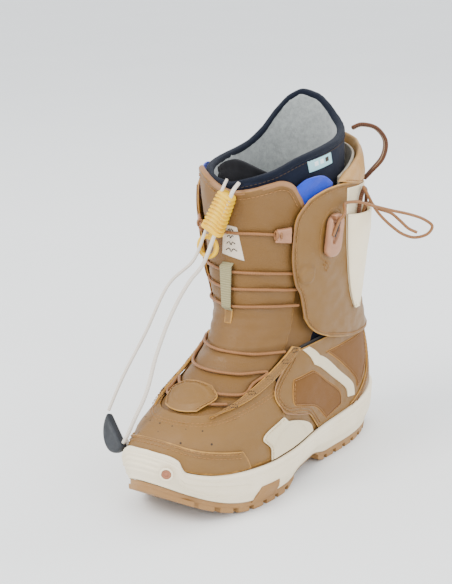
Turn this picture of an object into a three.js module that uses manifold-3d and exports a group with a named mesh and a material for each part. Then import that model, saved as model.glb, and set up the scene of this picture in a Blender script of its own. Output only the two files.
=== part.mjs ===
// Snowboard boot (left foot), millimetres, +Z up, toe along -Y, outer side of the foot along +X.
// The upper is drawn on one closed boot surface, skin(theta, t, lift): theta goes round the boot in
// degrees (0 front, 90 outer side, 180 back, 270 inner side), t goes up it (0 at the sole's edge,
// 1 at the cuff's rim) and lift is the distance out from the surface. Each panel is a patch of that
// surface between two lifts, so that layers lie on each other as sewn pieces do.
import * as THREE from 'three';
import { mergeVertices } from 'three/addons/utils/BufferGeometryUtils.js';
import Module from 'manifold-3d';

const wasm = await Module();
wasm.setup();

const DEG = Math.PI / 180;
const CENTRE = [-4, 2.1];         // x and y of the middle of the boot's box, moved to the origin
const LEATHER = 1.8;              // thickness of the cuff leather
const TONGUE = [-4.8, -2.4];      // lifts of the tongue's two faces
const INNER = [-4.8, -2.4];       // inner shell of the lower boot
const VAMP = [-1.6, -0.8];        // first leather layer
const QUARTER = [-0.3, 0.6];      // second leather layer
const OVERLAY = [1.2, 2.0];       // third layer: eyestays, patches, stripes, counter
const CUFF_LINING = [-4.6, 0.4];
const FLAP = [1.2, 1.2 + LEATHER];
const FLAP_HEM = [3.0, 3.0 + LEATHER];   // where the cuff overlaps the lower boot
const LINER_LIFT = -5.7;
const LINER_FOOT_THICK = 3.4;
const LINER_CUFF_THICK = 5.5;
const LACE_R = 1.2;
const LACE_LIFT = -0.3;
const GAP = 0.3;
const AROUND = 40;                // sides of every ring round the foot
const OUTSOLE_TOP = 8;            // outsole thickness, lugs included
const LUG_DEPTH = 3.6;
const SOLE_LIFT = 0.4;            // how far the sole's edge stands out from the boot surface
const TOE_SPRING = 26;
const HEEL_BEVEL = 8;
const ARCH_LIFT = 9;

// Rows of the boot surface: a tilted closed loop through a front and a back point (y, z), with its
// half widths on the outer and inner side, where it is widest, how square its ends are, how far the
// waist is drawn in and how far the row is shifted sideways.
const ROWS = [
  { t: 0.00, front: [-137, 22], back: [141, 16], half: [47, 47],
    widest: 0.66, power: [2.2, 2.6], waist: [0.17, 0.22], shift: 0 },
  { t: 0.07, front: [-139, 42], back: [144, 32], half: [48, 48],
    widest: 0.655, power: [2.25, 2.6], waist: [0.14, 0.19], shift: 0 },
  { t: 0.15, front: [-131, 60], back: [143, 50], half: [48, 48],
    widest: 0.65, power: [2.3, 2.55], waist: [0.11, 0.15], shift: 0 },
  { t: 0.25, front: [-108, 76], back: [140, 68], half: [46, 46],
    widest: 0.63, power: [2.3, 2.45], waist: [0.07, 0.1], shift: 0 },
  { t: 0.36, front: [-78, 92], back: [135, 88], half: [43.5, 44],
    widest: 0.58, power: [2.15, 2.35], waist: [0.02, 0.03], shift: -1 },
  { t: 0.47, front: [-53, 111], back: [127, 107], half: [43, 43],
    widest: 0.53, power: [2.05, 2.25], waist: [0, 0], shift: -2 },
  { t: 0.58, front: [-40, 136], back: [119, 128], half: [45, 45],
    widest: 0.5, power: [2.05, 2.2], waist: [0, 0], shift: -3 },
  { t: 0.70, front: [-39, 166], back: [112, 154], half: [49, 49],
    widest: 0.5, power: [2.05, 2.15], waist: [0, 0], shift: -4 },
  { t: 0.84, front: [-41, 199], back: [108, 190], half: [53, 53],
    widest: 0.5, power: [2.05, 2.1], waist: [0, 0], shift: -4 },
  { t: 1.00, front: [-44, 235], back: [106, 232], half: [56, 56],
    widest: 0.5, power: [2.05, 2.1], waist: [0, 0], shift: -4 },
  { t: 1.25, front: [-46, 290], back: [101, 290], half: [57, 57],
    widest: 0.5, power: [2.05, 2.1], waist: [0, 0], shift: -4 },
];
const WAIST_PLACE = [0.4, 0.17];  // middle and width of the waist, as parts of a row's length
const TOE_SWING = [10, 10, 130];  // sideways swing of the toe, where it starts, over what length
const TOE_LIFT = [13, 95, 45];    // how far the toe's lower edge curls up, where from, over what length

// ---------------------------------------------------------------- curves and surface

// Smooth curve through values at knots that never overshoots between them.
function smoothTable(knots, values) {
  const n = knots.length;
  const h = knots.slice(1).map((k, i) => k - knots[i]);
  const d = h.map((step, i) => (values[i + 1] - values[i]) / step);
  const m = values.map((_, i) => {
    if (i === 0) return d[0];
    if (i === n - 1) return d[n - 2];
    if (d[i - 1] * d[i] <= 0) return 0;
    const a = 2 * h[i] + h[i - 1];
    const b = h[i] + 2 * h[i - 1];
    return (a + b) / (a / d[i - 1] + b / d[i]);
  });
  return (x) => {
    if (x <= knots[0]) return values[0] + m[0] * (x - knots[0]);
    if (x >= knots[n - 1]) return values[n - 1] + m[n - 1] * (x - knots[n - 1]);
    let i = 0;
    while (x > knots[i + 1]) i += 1;
    const s = (x - knots[i]) / h[i];
    const u = 1 - s;
    return values[i] * u * u * (1 + 2 * s) + values[i + 1] * s * s * (1 + 2 * u)
      + h[i] * s * u * (m[i] * u - m[i + 1] * s);
  };
}

const knots = ROWS.map((row) => row.t);
const rowCurves = {
  frontY: smoothTable(knots, ROWS.map((row) => row.front[0])),
  frontZ: smoothTable(knots, ROWS.map((row) => row.front[1])),
  backY: smoothTable(knots, ROWS.map((row) => row.back[0])),
  backZ: smoothTable(knots, ROWS.map((row) => row.back[1])),
  halfOuter: smoothTable(knots, ROWS.map((row) => row.half[0])),
  halfInner: smoothTable(knots, ROWS.map((row) => row.half[1])),
  widest: smoothTable(knots, ROWS.map((row) => row.widest)),
  powerFront: smoothTable(knots, ROWS.map((row) => row.power[0])),
  powerBack: smoothTable(knots, ROWS.map((row) => row.power[1])),
  waistOuter: smoothTable(knots, ROWS.map((row) => row.waist[0])),
  waistInner: smoothTable(knots, ROWS.map((row) => row.waist[1])),
  shift: smoothTable(knots, ROWS.map((row) => row.shift)),
};

function toeLift(y) {
  return TOE_LIFT[0] * Math.max(0, (-y - TOE_LIFT[1]) / TOE_LIFT[2]) ** 2;
}

function bareSkin(theta, t) {
  const row = Object.fromEntries(Object.entries(rowCurves).map(([key, curve]) => [key, curve(t)]));
  const c = Math.cos(theta * DEG);
  const s = Math.sin(theta * DEG);
  const length = Math.hypot(row.frontY - row.backY, row.frontZ - row.backZ);
  const power = c >= 0 ? row.powerFront : row.powerBack;
  const reach = c >= 0 ? (1 - row.widest) * length : row.widest * length;
  const along = Math.sign(c) * Math.abs(c) ** (2 / power) * reach + row.widest * length;
  const half = s >= 0 ? row.halfOuter : row.halfInner;
  const waist = s >= 0 ? row.waistOuter : row.waistInner;
  const part = along / length;
  const pinch = 1 - waist * Math.exp(-(((part - WAIST_PLACE[0]) / WAIST_PLACE[1]) ** 2));
  const y = row.backY + (row.frontY - row.backY) * part;
  const z = row.backZ + (row.frontZ - row.backZ) * part + toeLift(y) * (1 - ease(0, 0.1, t));
  const swing = Math.max(0, (-y - TOE_SWING[1]) / TOE_SWING[2]);
  const x = Math.sign(s) * half * Math.abs(s) ** (2 / power) * pinch;
  return new THREE.Vector3(x - TOE_SWING[0] * swing * swing + row.shift, y, z);
}

function skinNormal(theta, t) {
  const around = bareSkin(theta + 0.5, t).sub(bareSkin(theta - 0.5, t));
  const up = bareSkin(theta, t + 0.004).sub(bareSkin(theta, t - 0.004));
  return around.cross(up).normalize();
}

function skin(theta, t, lift = 0) {
  return bareSkin(theta, t).addScaledVector(skinNormal(theta, t), lift);
}

function lerp(a, b, s) {
  return a + (b - a) * s;
}

function ease(a, b, x) {
  const s = Math.min(1, Math.max(0, (x - a) / (b - a)));
  return s * s * (3 - 2 * s);
}

// Point at part s of a smooth line through [theta, t] points.
function along(points, s) {
  const curve = new THREE.SplineCurve(points.map(([a, b]) => new THREE.Vector2(a, b)));
  return curve.getPoint(s);
}

function mirrored(points) {
  return points.map(([theta, t]) => [-theta, t]);
}

// ---------------------------------------------------------------- solids

function solidFrom(positions, indices) {
  let volume = 0;
  for (let i = 0; i < indices.length; i += 3) {
    const [a, b, c] = [0, 1, 2].map((k) => positions[indices[i + k]]);
    volume += a.dot(new THREE.Vector3().crossVectors(b, c));
  }
  const order = volume >= 0 ? indices : indices.slice().reverse();
  const geometry = new THREE.BufferGeometry();
  const numbers = positions.flatMap((p) => p.toArray());
  geometry.setAttribute('position', new THREE.Float32BufferAttribute(numbers, 3));
  geometry.setIndex(order);
  const merged = mergeVertices(geometry, 1e-4);
  const index = merged.index.array;
  const kept = [];
  for (let i = 0; i < index.length; i += 3) {
    const [a, b, c] = [index[i], index[i + 1], index[i + 2]];
    if (a !== b && b !== c && a !== c) kept.push(a, b, c);
  }
  merged.setIndex(kept);
  return merged;
}

// Closed patch between two lifts. The four sides are [theta, t] lines; bottom and top run the same
// way, and so do left and right. A lift is a number or a function of (theta, t, u, v).
function panel(sides, lifts, columns, rows) {
  const { bottom, top, left, right } = sides;
  const corner = [along(bottom, 0), along(bottom, 1), along(top, 0), along(top, 1)];
  const place = (u, v) => {
    const lo = along(bottom, u);
    const hi = along(top, u);
    const l = along(left, v);
    const r = along(right, v);
    const mix = (key) => lerp(lo[key], hi[key], v) + lerp(l[key], r[key], u)
      - lerp(lerp(corner[0][key], corner[1][key], u), lerp(corner[2][key], corner[3][key], u), v);
    return [mix('x'), mix('y')];
  };
  const positions = [];
  const id = (side, i, j) => side * (columns + 1) * (rows + 1) + j * (columns + 1) + i;
  for (const lift of lifts) {
    for (let j = 0; j <= rows; j += 1) {
      for (let i = 0; i <= columns; i += 1) {
        const [theta, t] = place(i / columns, j / rows);
        const height = typeof lift === 'function' ? lift(theta, t, i / columns, j / rows) : lift;
        positions.push(skin(theta, t, height));
      }
    }
  }
  const faces = [];
  const quad = (a, b, c, d) => faces.push(a, b, c, a, c, d);
  for (let j = 0; j < rows; j += 1) {
    for (let i = 0; i < columns; i += 1) {
      quad(id(1, i, j), id(1, i + 1, j), id(1, i + 1, j + 1), id(1, i, j + 1));
      quad(id(0, i, j), id(0, i, j + 1), id(0, i + 1, j + 1), id(0, i + 1, j));
    }
  }
  for (let i = 0; i < columns; i += 1) {
    quad(id(0, i, 0), id(0, i + 1, 0), id(1, i + 1, 0), id(1, i, 0));
    quad(id(1, i, rows), id(1, i + 1, rows), id(0, i + 1, rows), id(0, i, rows));
  }
  for (let j = 0; j < rows; j += 1) {
    quad(id(1, 0, j), id(1, 0, j + 1), id(0, 0, j + 1), id(0, 0, j));
    quad(id(0, columns, j), id(0, columns, j + 1), id(1, columns, j + 1), id(1, columns, j));
  }
  return solidFrom(positions, faces);
}

// Closed solid from a stack of rings of equal length; a ring of one point closes an end, and
// without such ends the last ring joins the first.
function ringSolid(rings) {
  const closed = rings[0].length > 1;
  const count = Math.max(...rings.map((ring) => ring.length));
  const full = rings.map((ring) => (ring.length === 1 ? Array(count).fill(ring[0]) : ring));
  const positions = full.flat();
  const faces = [];
  const last = closed ? full.length : full.length - 1;
  for (let k = 0; k < last; k += 1) {
    const next = (k + 1) % full.length;
    for (let i = 0; i < count; i += 1) {
      const j = (i + 1) % count;
      faces.push(k * count + i, k * count + j, next * count + j);
      faces.push(k * count + i, next * count + j, next * count + i);
    }
  }
  return solidFrom(positions, faces);
}

function loop(count, place) {
  return Array.from({ length: count }, (_, i) => place((360 * i) / count));
}

// Round or flat bar along a line of points; a flat one is wide across its own plane.
function bar(points, radiusX, radiusY, sides, steps, closed = false) {
  const curve = new THREE.CatmullRomCurve3(points.map((p) => new THREE.Vector3(...p)), closed, 'centripetal');
  const shape = new THREE.Shape();
  for (let i = 0; i < sides; i += 1) {
    const angle = (2 * Math.PI * (i + 0.5)) / sides;
    const stretch = sides === 4 ? Math.SQRT2 : 1;
    const [x, y] = [radiusX * stretch * Math.cos(angle), radiusY * stretch * Math.sin(angle)];
    if (i === 0) shape.moveTo(x, y);
    else shape.lineTo(x, y);
  }
  shape.closePath();
  const geometry = new THREE.ExtrudeGeometry(shape, { steps, bevelEnabled: false, extrudePath: curve });
  return clean(geometry);
}

function clean(geometry) {
  const bare = geometry.clone();
  for (const name of Object.keys(bare.attributes)) {
    if (name !== 'position') bare.deleteAttribute(name);
  }
  return mergeVertices(bare, 1e-4);
}

function toSolid(geometry) {
  const merged = clean(geometry);
  const triVerts = merged.index ? new Uint32Array(merged.index.array)
    : new Uint32Array(merged.attributes.position.count).map((_, i) => i);
  const vertProperties = new Float32Array(merged.attributes.position.array);
  return new wasm.Manifold(new wasm.Mesh({ numProp: 3, vertProperties, triVerts }));
}

function fromSolid(solid) {
  const mesh = solid.getMesh();
  const geometry = new THREE.BufferGeometry();
  geometry.setAttribute('position', new THREE.BufferAttribute(mesh.vertProperties, 3));
  geometry.setIndex(new THREE.BufferAttribute(mesh.triVerts, 1));
  return geometry;
}

function cut(geometry, ...tools) {
  return fromSolid(tools.reduce((solid, tool) => solid.subtract(toSolid(tool)), toSolid(geometry)));
}

function join(...pieces) {
  return fromSolid(pieces.slice(1).reduce((solid, piece) => solid.add(toSolid(piece)), toSolid(pieces[0])));
}

// Frame on the boot surface: x along the surface sideways, y up it, z out of it.
function surfaceFrame(theta, t, lift, turn = 0) {
  const normal = skinNormal(theta, t);
  const up = bareSkin(theta, t + 0.01).sub(bareSkin(theta, t - 0.01)).normalize();
  const side = new THREE.Vector3().crossVectors(up, normal).normalize();
  const matrix = new THREE.Matrix4().makeBasis(side, new THREE.Vector3().crossVectors(normal, side), normal);
  matrix.multiply(new THREE.Matrix4().makeRotationZ(turn * DEG));
  return matrix.setPosition(skin(theta, t, lift));
}

function roundedOutline(width, height, radius, grow = 0) {
  const [w, h, r] = [width / 2 + grow, height / 2 + grow, radius + grow];
  const shape = new THREE.Shape();
  shape.absarc(w - r, h - r, r, 0, Math.PI / 2);
  shape.absarc(-w + r, h - r, r, Math.PI / 2, Math.PI);
  shape.absarc(-w + r, -h + r, r, Math.PI, 1.5 * Math.PI);
  shape.absarc(w - r, -h + r, r, 1.5 * Math.PI, 2 * Math.PI);
  return shape;
}

function plate(shape, low, high, segments = 4) {
  const form = { depth: high - low, bevelEnabled: false, curveSegments: segments };
  const geometry = new THREE.ExtrudeGeometry(shape, form);
  return geometry.translate(0, 0, low);
}

// ---------------------------------------------------------------- sole

function groundRise(y) {
  const toe = Math.max(0, (-y - 70) / 70) ** 2 * TOE_SPRING;
  const heel = Math.max(0, (y - 105) / 40) ** 2 * HEEL_BEVEL;
  return toe + heel;
}

function archRise(y) {
  return ARCH_LIFT * ease(-35, -12, y) * (1 - ease(12, 38, y));
}

// Height of the midsole's top edge round the boot, as t on the boot surface.
const foxingTop = smoothTable(
  [0, 14, 24, 31, 50, 84, 108, 135, 160, 180, 200, 225, 252, 276, 310, 329, 336, 346, 360],
  [0.115, 0.11, 0.095, 0.055, 0.04, 0.035, 0.05, 0.075, 0.095, 0.1,
    0.095, 0.075, 0.05, 0.035, 0.04, 0.055, 0.095, 0.11, 0.115],
);

function footRing(count, lift, height, shrink = 1) {
  return loop(count, (theta) => {
    const p = skin(theta, 0, lift);
    p.x *= shrink;
    p.y *= shrink;
    p.z = height(p.y);
    return p;
  });
}

const soleTop = (y) => OUTSOLE_TOP + groundRise(y) + 0.6 * archRise(y);
const LUG_PITCH = 14.5;
const STATIONS = Array.from({ length: 22 }, (_, i) => 150 - LUG_PITCH * i);   // heel to toe

// Side outline in (y, z), pushed across the boot.
function acrossBoot(side) {
  const profile = new THREE.ExtrudeGeometry(side, { depth: 140, bevelEnabled: false });
  const turned = new THREE.Matrix4().makeBasis(
    new THREE.Vector3(0, 1, 0), new THREE.Vector3(0, 0, 1), new THREE.Vector3(1, 0, 0),
  );
  return profile.applyMatrix4(turned).translate(-70, 0, 0);
}

function midsole() {
  const floor = sloped(-2);
  const wall = (share, lift) => loop(AROUND, (theta) => {
    const low = skin(theta, 0, lift);
    const high = skin(theta, foxingTop(theta), lift);
    const bottom = soleTop(low.y);
    const [x, y] = [lerp(low.x, high.x, share), lerp(low.y, high.y, share)];
    return new THREE.Vector3(x, y, lerp(bottom, high.z, share));
  });
  const inside = (share, lift) => loop(AROUND, (theta) => skin(theta, foxingTop(theta) * share, lift));
  const tub = ringSolid([
    [new THREE.Vector3(0, 0, -5)],
    footRing(AROUND, SOLE_LIFT, () => -5),
    wall(0.06, SOLE_LIFT + 0.6),
    wall(0.5, 4.6),
    wall(0.92, 4.2),
    inside(1, 3.2),
    inside(1, -1.2),
    inside(0.75, -1.2),
    inside(0.5, -1.2),
    inside(0.25, -1.2),
    footRing(AROUND, -1.4, floor),
    footRing(AROUND, -1.4, floor, 0.8),
    footRing(AROUND, -1.4, floor, 0.5),
    [new THREE.Vector3(0, 0, floor(0))],
  ]);
  const side = new THREE.Shape();
  side.moveTo(STATIONS[0], -20);
  for (const y of STATIONS) side.lineTo(y, soleTop(y) + GAP);
  side.lineTo(STATIONS.at(-1), -20);
  side.closePath();
  return cut(tub, acrossBoot(side));
}

function outsole() {
  const outline = new THREE.Shape(loop(AROUND, (theta) => {
    const p = skin(theta, 0, SOLE_LIFT);
    return new THREE.Vector2(p.x, p.y);
  }));
  const block = new THREE.ExtrudeGeometry(outline, { depth: 60, bevelEnabled: false }).translate(0, 0, -10);
  const side = new THREE.Shape();
  const tread = (y) => groundRise(y) + archRise(y);
  side.moveTo(STATIONS[0], soleTop(STATIONS[0]));
  for (const y of STATIONS.slice(1)) side.lineTo(y, soleTop(y));
  for (const y of STATIONS.slice(1, -1).reverse()) {
    const flat = y > -20 && y < 20;
    side.lineTo(y - 7.5, tread(y - 7.5));
    side.lineTo(y + 2.5, tread(y + 2.5));
    if (!flat) {
      side.lineTo(y + 3.4, tread(y + 3.4) + LUG_DEPTH);
      side.lineTo(y + 6.1, tread(y + 6.1) + LUG_DEPTH);
    }
  }
  side.closePath();
  const grooves = [-18, 18].map((x) => new THREE.BoxGeometry(3, 300, 7).translate(x, 0, 0));
  const body = toSolid(block).intersect(toSolid(acrossBoot(side)));
  return fromSolid(grooves.reduce((solid, groove) => solid.subtract(toSolid(groove)), body));
}

function toeBadge() {
  const disc = new THREE.CylinderGeometry(5, 5, 2.2, 20).rotateX(Math.PI / 2);
  return disc.applyMatrix4(surfaceFrame(18, 0.07, 6.2));
}

// ---------------------------------------------------------------- lower boot

const topOfInner = smoothTable(
  [0, 28, 36, 46, 51, 59, 65, 75, 180, 285, 295, 301, 309, 314, 324, 332, 360],
  [0.25, 0.25, 0.265, 0.29, 0.325, 0.385, 0.44, 0.455, 0.47,
    0.455, 0.44, 0.385, 0.325, 0.29, 0.265, 0.25, 0.25],
);

function sock(count, levels, lifts, topAt, floorLow, floorHigh) {
  const ring = (share, lift) => loop(count, (theta) => skin(theta, topAt(theta) * share, lift));
  const shares = Array.from({ length: levels + 1 }, (_, i) => i / levels);
  return ringSolid([
    [new THREE.Vector3(0, 0, floorLow(0))],
    footRing(count, lifts[1], floorLow, 0.5),
    footRing(count, lifts[1], floorLow, 0.8),
    footRing(count, lifts[1], floorLow, 0.97),
    ...shares.map((share) => ring(share, lifts[1])).slice(lifts[2]),
    ...shares.map((share) => ring(share, lifts[0])).reverse().slice(0, levels),
    footRing(count, lifts[0], floorHigh, 0.96),
    footRing(count, lifts[0], floorHigh, 0.8),
    footRing(count, lifts[0], floorHigh, 0.5),
    [new THREE.Vector3(0, 0, floorHigh(0))],
  ]);
}

function sloped(offset) {
  return (y) => lerp(16, 22, (141 - y) / 278) + toeLift(y) + offset;
}

function innerShell() {
  return sock(AROUND, 6, [...INNER, 0], topOfInner, sloped(-0.4), sloped(1.6));
}

const THROAT = [[38, 0.288], [43, 0.32], [51, 0.382], [57, 0.437]];

function toeCap() {
  return panel({
    bottom: [[-70, 0.05], [-50, 0.052], [-31, 0.07], [-20, 0.112], [0, 0.128],
      [20, 0.112], [31, 0.07], [50, 0.052], [70, 0.05]],
    top: [[-64, 0.11], [-40, 0.132], [-15, 0.16], [0, 0.166], [15, 0.16], [40, 0.132], [64, 0.11]],
    left: [[-70, 0.05], [-68, 0.08], [-64, 0.11]],
    right: [[70, 0.05], [68, 0.08], [64, 0.11]],
  }, QUARTER, 18, 3);
}

function vamp() {
  return panel({
    bottom: [[-92, 0.05], [-60, 0.055], [-31, 0.09], [-18, 0.122], [0, 0.132],
      [18, 0.122], [31, 0.09], [60, 0.055], [92, 0.05]],
    top: [[-60, 0.355], [-45, 0.3], [-28, 0.262], [0, 0.255], [28, 0.262], [45, 0.3], [60, 0.355]],
    left: [[-92, 0.05], [-86, 0.19], [-60, 0.355]],
    right: [[92, 0.05], [86, 0.19], [60, 0.355]],
  }, VAMP, 18, 7);
}

function vampPatch() {
  return panel({
    bottom: [[-15, 0.268], [0, 0.262], [15, 0.268]],
    top: [[-13, 0.352], [0, 0.36], [13, 0.352]],
    left: [[-15, 0.268], [-24, 0.31], [-13, 0.352]],
    right: [[15, 0.268], [24, 0.31], [13, 0.352]],
  }, [1.1, (theta, t, u, v) => 2.4 - 0.5 * (2 * v - 1) ** 2], 6, 4);
}

const QUARTER_SIDES = {
  bottom: [[104, 0.06], [125, 0.075], [150, 0.1], [179.6, 0.112]],
  top: [[63, 0.44], [85, 0.455], [120, 0.462], [179.6, 0.468]],
  left: [[104, 0.06], [97, 0.14], [88, 0.19], [80, 0.225], [64, 0.32], [63, 0.44]],
  right: [[179.6, 0.112], [179.6, 0.3], [179.6, 0.468]],
};

const EYESTAY_SIDES = {
  bottom: [[28, 0.246], [36, 0.262]],
  top: [[60, 0.465], [67, 0.452]],
  left: [[28, 0.246], ...THROAT, [60, 0.465]],
  right: [[36, 0.262], [47, 0.285], [55, 0.32], [61, 0.37], [65, 0.42], [67, 0.452]],
};

const COUNTER_SIDES = {
  bottom: [[122, 0.082], [150, 0.106], [180, 0.116], [210, 0.106], [238, 0.082]],
  top: [[151, 0.355], [165, 0.365], [180, 0.368], [195, 0.365], [209, 0.355]],
  left: [[122, 0.082], [134, 0.13], [145, 0.22], [151, 0.355]],
  right: [[238, 0.082], [226, 0.13], [215, 0.22], [209, 0.355]],
};

const FOREFOOT_SIDES = {
  bottom: [[83, 0.05], [92, 0.055], [101, 0.063]],
  top: [[84, 0.178], [85, 0.184], [86, 0.182]],
  left: [[83, 0.05], [82, 0.09], [76, 0.125], [77, 0.15], [84, 0.178]],
  right: [[101, 0.063], [98, 0.105], [86, 0.182]],
};

const STRIPE_SIDES = {
  bottom: [[120, 0.115], [125, 0.108]],
  top: [[70, 0.44], [75, 0.445]],
  left: [[120, 0.115], [117, 0.165], [103, 0.272], [85, 0.38], [70, 0.44]],
  right: [[125, 0.108], [122, 0.17], [108, 0.278], [90, 0.388], [75, 0.445]],
};

const FRONT_SUEDE_SIDES = {
  bottom: [[108, 0.075], [116, 0.1]],
  top: [[76, 0.33], [90, 0.335]],
  left: [[108, 0.075], [100, 0.15], [90, 0.21], [76, 0.33]],
  right: [[116, 0.1], [113.5, 0.165], [101, 0.262], [90, 0.335]],
};

const REAR_SUEDE_SIDES = {
  bottom: [[128, 0.13], [132, 0.15]],
  top: [[93, 0.392], [146, 0.375]],
  left: [[128, 0.13], [124, 0.19], [111, 0.29], [93, 0.392]],
  right: [[132, 0.15], [141, 0.24], [146, 0.375]],
};

function onSide(sides, inner) {
  if (!inner) return sides;
  return Object.fromEntries(Object.entries(sides).map(([key, line]) => [key, mirrored(line)]));
}

function lowerTongue() {
  return panel({
    bottom: [[-27, 0.275], [0, 0.268], [27, 0.275]],
    top: [[-52, 0.44], [0, 0.44], [52, 0.44]],
    left: [[-27, 0.275], [-38, 0.31], [-43, 0.345], [-52, 0.44]],
    right: [[27, 0.275], [38, 0.31], [43, 0.345], [52, 0.44]],
  }, TONGUE, 12, 6);
}

function bendingTongue() {
  return panel({
    bottom: [[-52, 0.444], [0, 0.444], [52, 0.444]],
    top: [[-52, 0.576], [0, 0.576], [52, 0.576]],
    left: [[-52, 0.444], [-52, 0.576]],
    right: [[52, 0.444], [52, 0.576]],
  }, TONGUE, 12, 5);
}

// ---------------------------------------------------------------- liner

function linerLift(theta, t) {
  const back = 0.5 - 0.5 * Math.cos(theta * DEG);
  return LINER_LIFT - 8 * ease(0.6, 1.0, t) * back;
}

const topOfLinerFoot = (theta) => lerp(0.4, 0.46, 0.5 - 0.5 * Math.cos(theta * DEG));
const bottomOfLinerCuff = (theta) => lerp(0.6, 0.505, 0.5 - 0.5 * Math.cos(theta * DEG));
const rimOfLiner = smoothTable(
  [0, 35, 60, 85, 105, 130, 150, 165, 180, 195, 210, 225, 240, 255, 270, 300, 330, 360],
  [1.0, 1.04, 1.085, 1.11, 1.125, 1.15, 1.18, 1.215, 1.245, 1.255, 1.235, 1.185, 1.115, 1.07,
    1.05, 1.03, 1.01, 1.0],
);

function linerFoot() {
  const lifts = [LINER_LIFT - LINER_FOOT_THICK, LINER_LIFT, 1];
  return sock(AROUND, 6, lifts, topOfLinerFoot, sloped(6.1), sloped(7.9));
}

function band(count, from, to, steps, outer, inner) {
  const ring = (share, lift) => loop(count, (theta) => {
    const t = lerp(from(theta), to(theta), share);
    return skin(theta, t, lift(theta, t));
  });
  const shares = Array.from({ length: steps + 1 }, (_, i) => i / steps);
  return ringSolid([
    ...shares.map((share) => ring(share, outer)),
    ...shares.map((share) => ring(1 - share, inner)),
  ]);
}

function linerCuff() {
  return band(36, bottomOfLinerCuff, (theta) => rimOfLiner(theta) - 0.022, 7,
    linerLift, (theta, t) => linerLift(theta, t) - LINER_CUFF_THICK);
}

function linerBinding() {
  return band(36, (theta) => rimOfLiner(theta) - 0.02, rimOfLiner, 1,
    (theta, t) => linerLift(theta, t) + 0.5, (theta, t) => linerLift(theta, t) - LINER_CUFF_THICK - 0.5);
}

function linerBend() {
  const from = (theta) => topOfLinerFoot(theta) + 0.004;
  const to = (theta) => bottomOfLinerCuff(theta) - 0.004;
  return band(AROUND, from, to, 3, () => LINER_LIFT - 0.4, () => LINER_LIFT - LINER_FOOT_THICK);
}

function linerTongue() {
  const lift = (theta, t) => linerLift(theta, t) - LINER_CUFF_THICK - 0.9;
  return panel({
    bottom: [[-38, 0.62], [0, 0.62], [38, 0.62]],
    top: [[-34, 1.03], [0, 1.07], [34, 1.03]],
    left: [[-38, 0.62], [-42, 0.82], [-34, 1.03]],
    right: [[38, 0.62], [42, 0.82], [34, 1.03]],
  }, [(theta, t) => lift(theta, t) - 5, lift], 8, 7);
}

function footbed() {
  const count = 36;
  const low = sloped(8.8);
  const high = sloped(11.2);
  const lift = LINER_LIFT - LINER_FOOT_THICK - 3;
  return ringSolid([
    [new THREE.Vector3(0, 0, low(0))],
    footRing(count, lift, low, 0.6),
    footRing(count, lift, low, 0.97),
    footRing(count, lift, high, 0.97),
    footRing(count, lift, high, 0.6),
    [new THREE.Vector3(0, 0, high(0))],
  ]);
}

function board() {
  const count = 28;
  const lift = INNER[0] - 1.5;
  const [low, high] = [sloped(3.3), sloped(4.4)];
  return ringSolid([
    [new THREE.Vector3(0, 0, low(0))],
    footRing(count, lift, low, 0.6),
    footRing(count, lift, low, 0.9),
    footRing(count, lift, high, 0.9),
    footRing(count, lift, high, 0.6),
    [new THREE.Vector3(0, 0, high(0))],
  ]);
}

function shank() {
  const [length, width, thick] = [120, 18, 1];
  const tilt = Math.atan(6 / 278);
  return new THREE.BoxGeometry(width, length, thick).rotateX(-tilt).translate(0, 30, sloped(2.5)(30));
}

function linerLabel() {
  return panel({
    bottom: [[62, 1.02], [83, 1.035]],
    top: [[60, 1.055], [81, 1.07]],
    left: [[62, 1.02], [60, 1.055]],
    right: [[83, 1.035], [81, 1.07]],
  }, [(theta, t) => linerLift(theta, t) + 0.3, (theta, t) => linerLift(theta, t) + 1.0], 3, 1);
}

// ---------------------------------------------------------------- cuff

// The cuff leather steps out over the lower boot at its hem.
const FLAP_IN = (theta, t) => lerp(FLAP_HEM[0], FLAP[0], ease(0.49, 0.58, t));
const FLAP_OUT = (theta, t) => FLAP_IN(theta, t) + LEATHER;

function cuffQuarter(inner) {
  const sides = {
    bottom: [[62, 0.555], [67, 0.525], [75, 0.495], [89, 0.46],
      [102, 0.43], [118, 0.4], [140, 0.38], [171, 0.37]],
    top: [[60, 0.95], [66, 0.966], [75, 0.98], [88, 0.985],
      [105, 0.975], [125, 0.965], [150, 0.96], [171, 0.96]],
    left: [[62, 0.555], [57.7, 0.635], [53, 0.675], [49.5, 0.75], [49.5, 0.84], [52, 0.9], [60, 0.95]],
    right: [[171, 0.37], [171, 0.665], [171, 0.96]],
  };
  return join(panel(onSide(sides, inner), [FLAP_IN, FLAP_OUT], 16, 10), guideBoss(inner));
}

function cuffLining() {
  return panel({
    bottom: [[94, 0.51], [180, 0.495], [266, 0.51]],
    top: [[94, 0.962], [180, 0.95], [266, 0.962]],
    left: [[94, 0.51], [94, 0.962]],
    right: [[266, 0.51], [266, 0.962]],
  }, CUFF_LINING, 14, 7);
}

function backstay() {
  const lift = (low) => (theta, t) => FLAP_OUT(theta, t) + low;
  return panel({
    bottom: [[168, 0.38], [180, 0.375], [192, 0.38]],
    top: [[166, 0.95], [180, 0.952], [194, 0.95]],
    left: [[168, 0.38], [166, 0.95]],
    right: [[192, 0.38], [194, 0.95]],
  }, [lift(0.5), lift(1.6)], 4, 9);
}

const collarTop = smoothTable([86, 105, 125, 150, 180, 210, 235, 255, 274],
  [1.0, 1.035, 1.065, 1.09, 1.1, 1.09, 1.065, 1.035, 1.0]);

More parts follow.
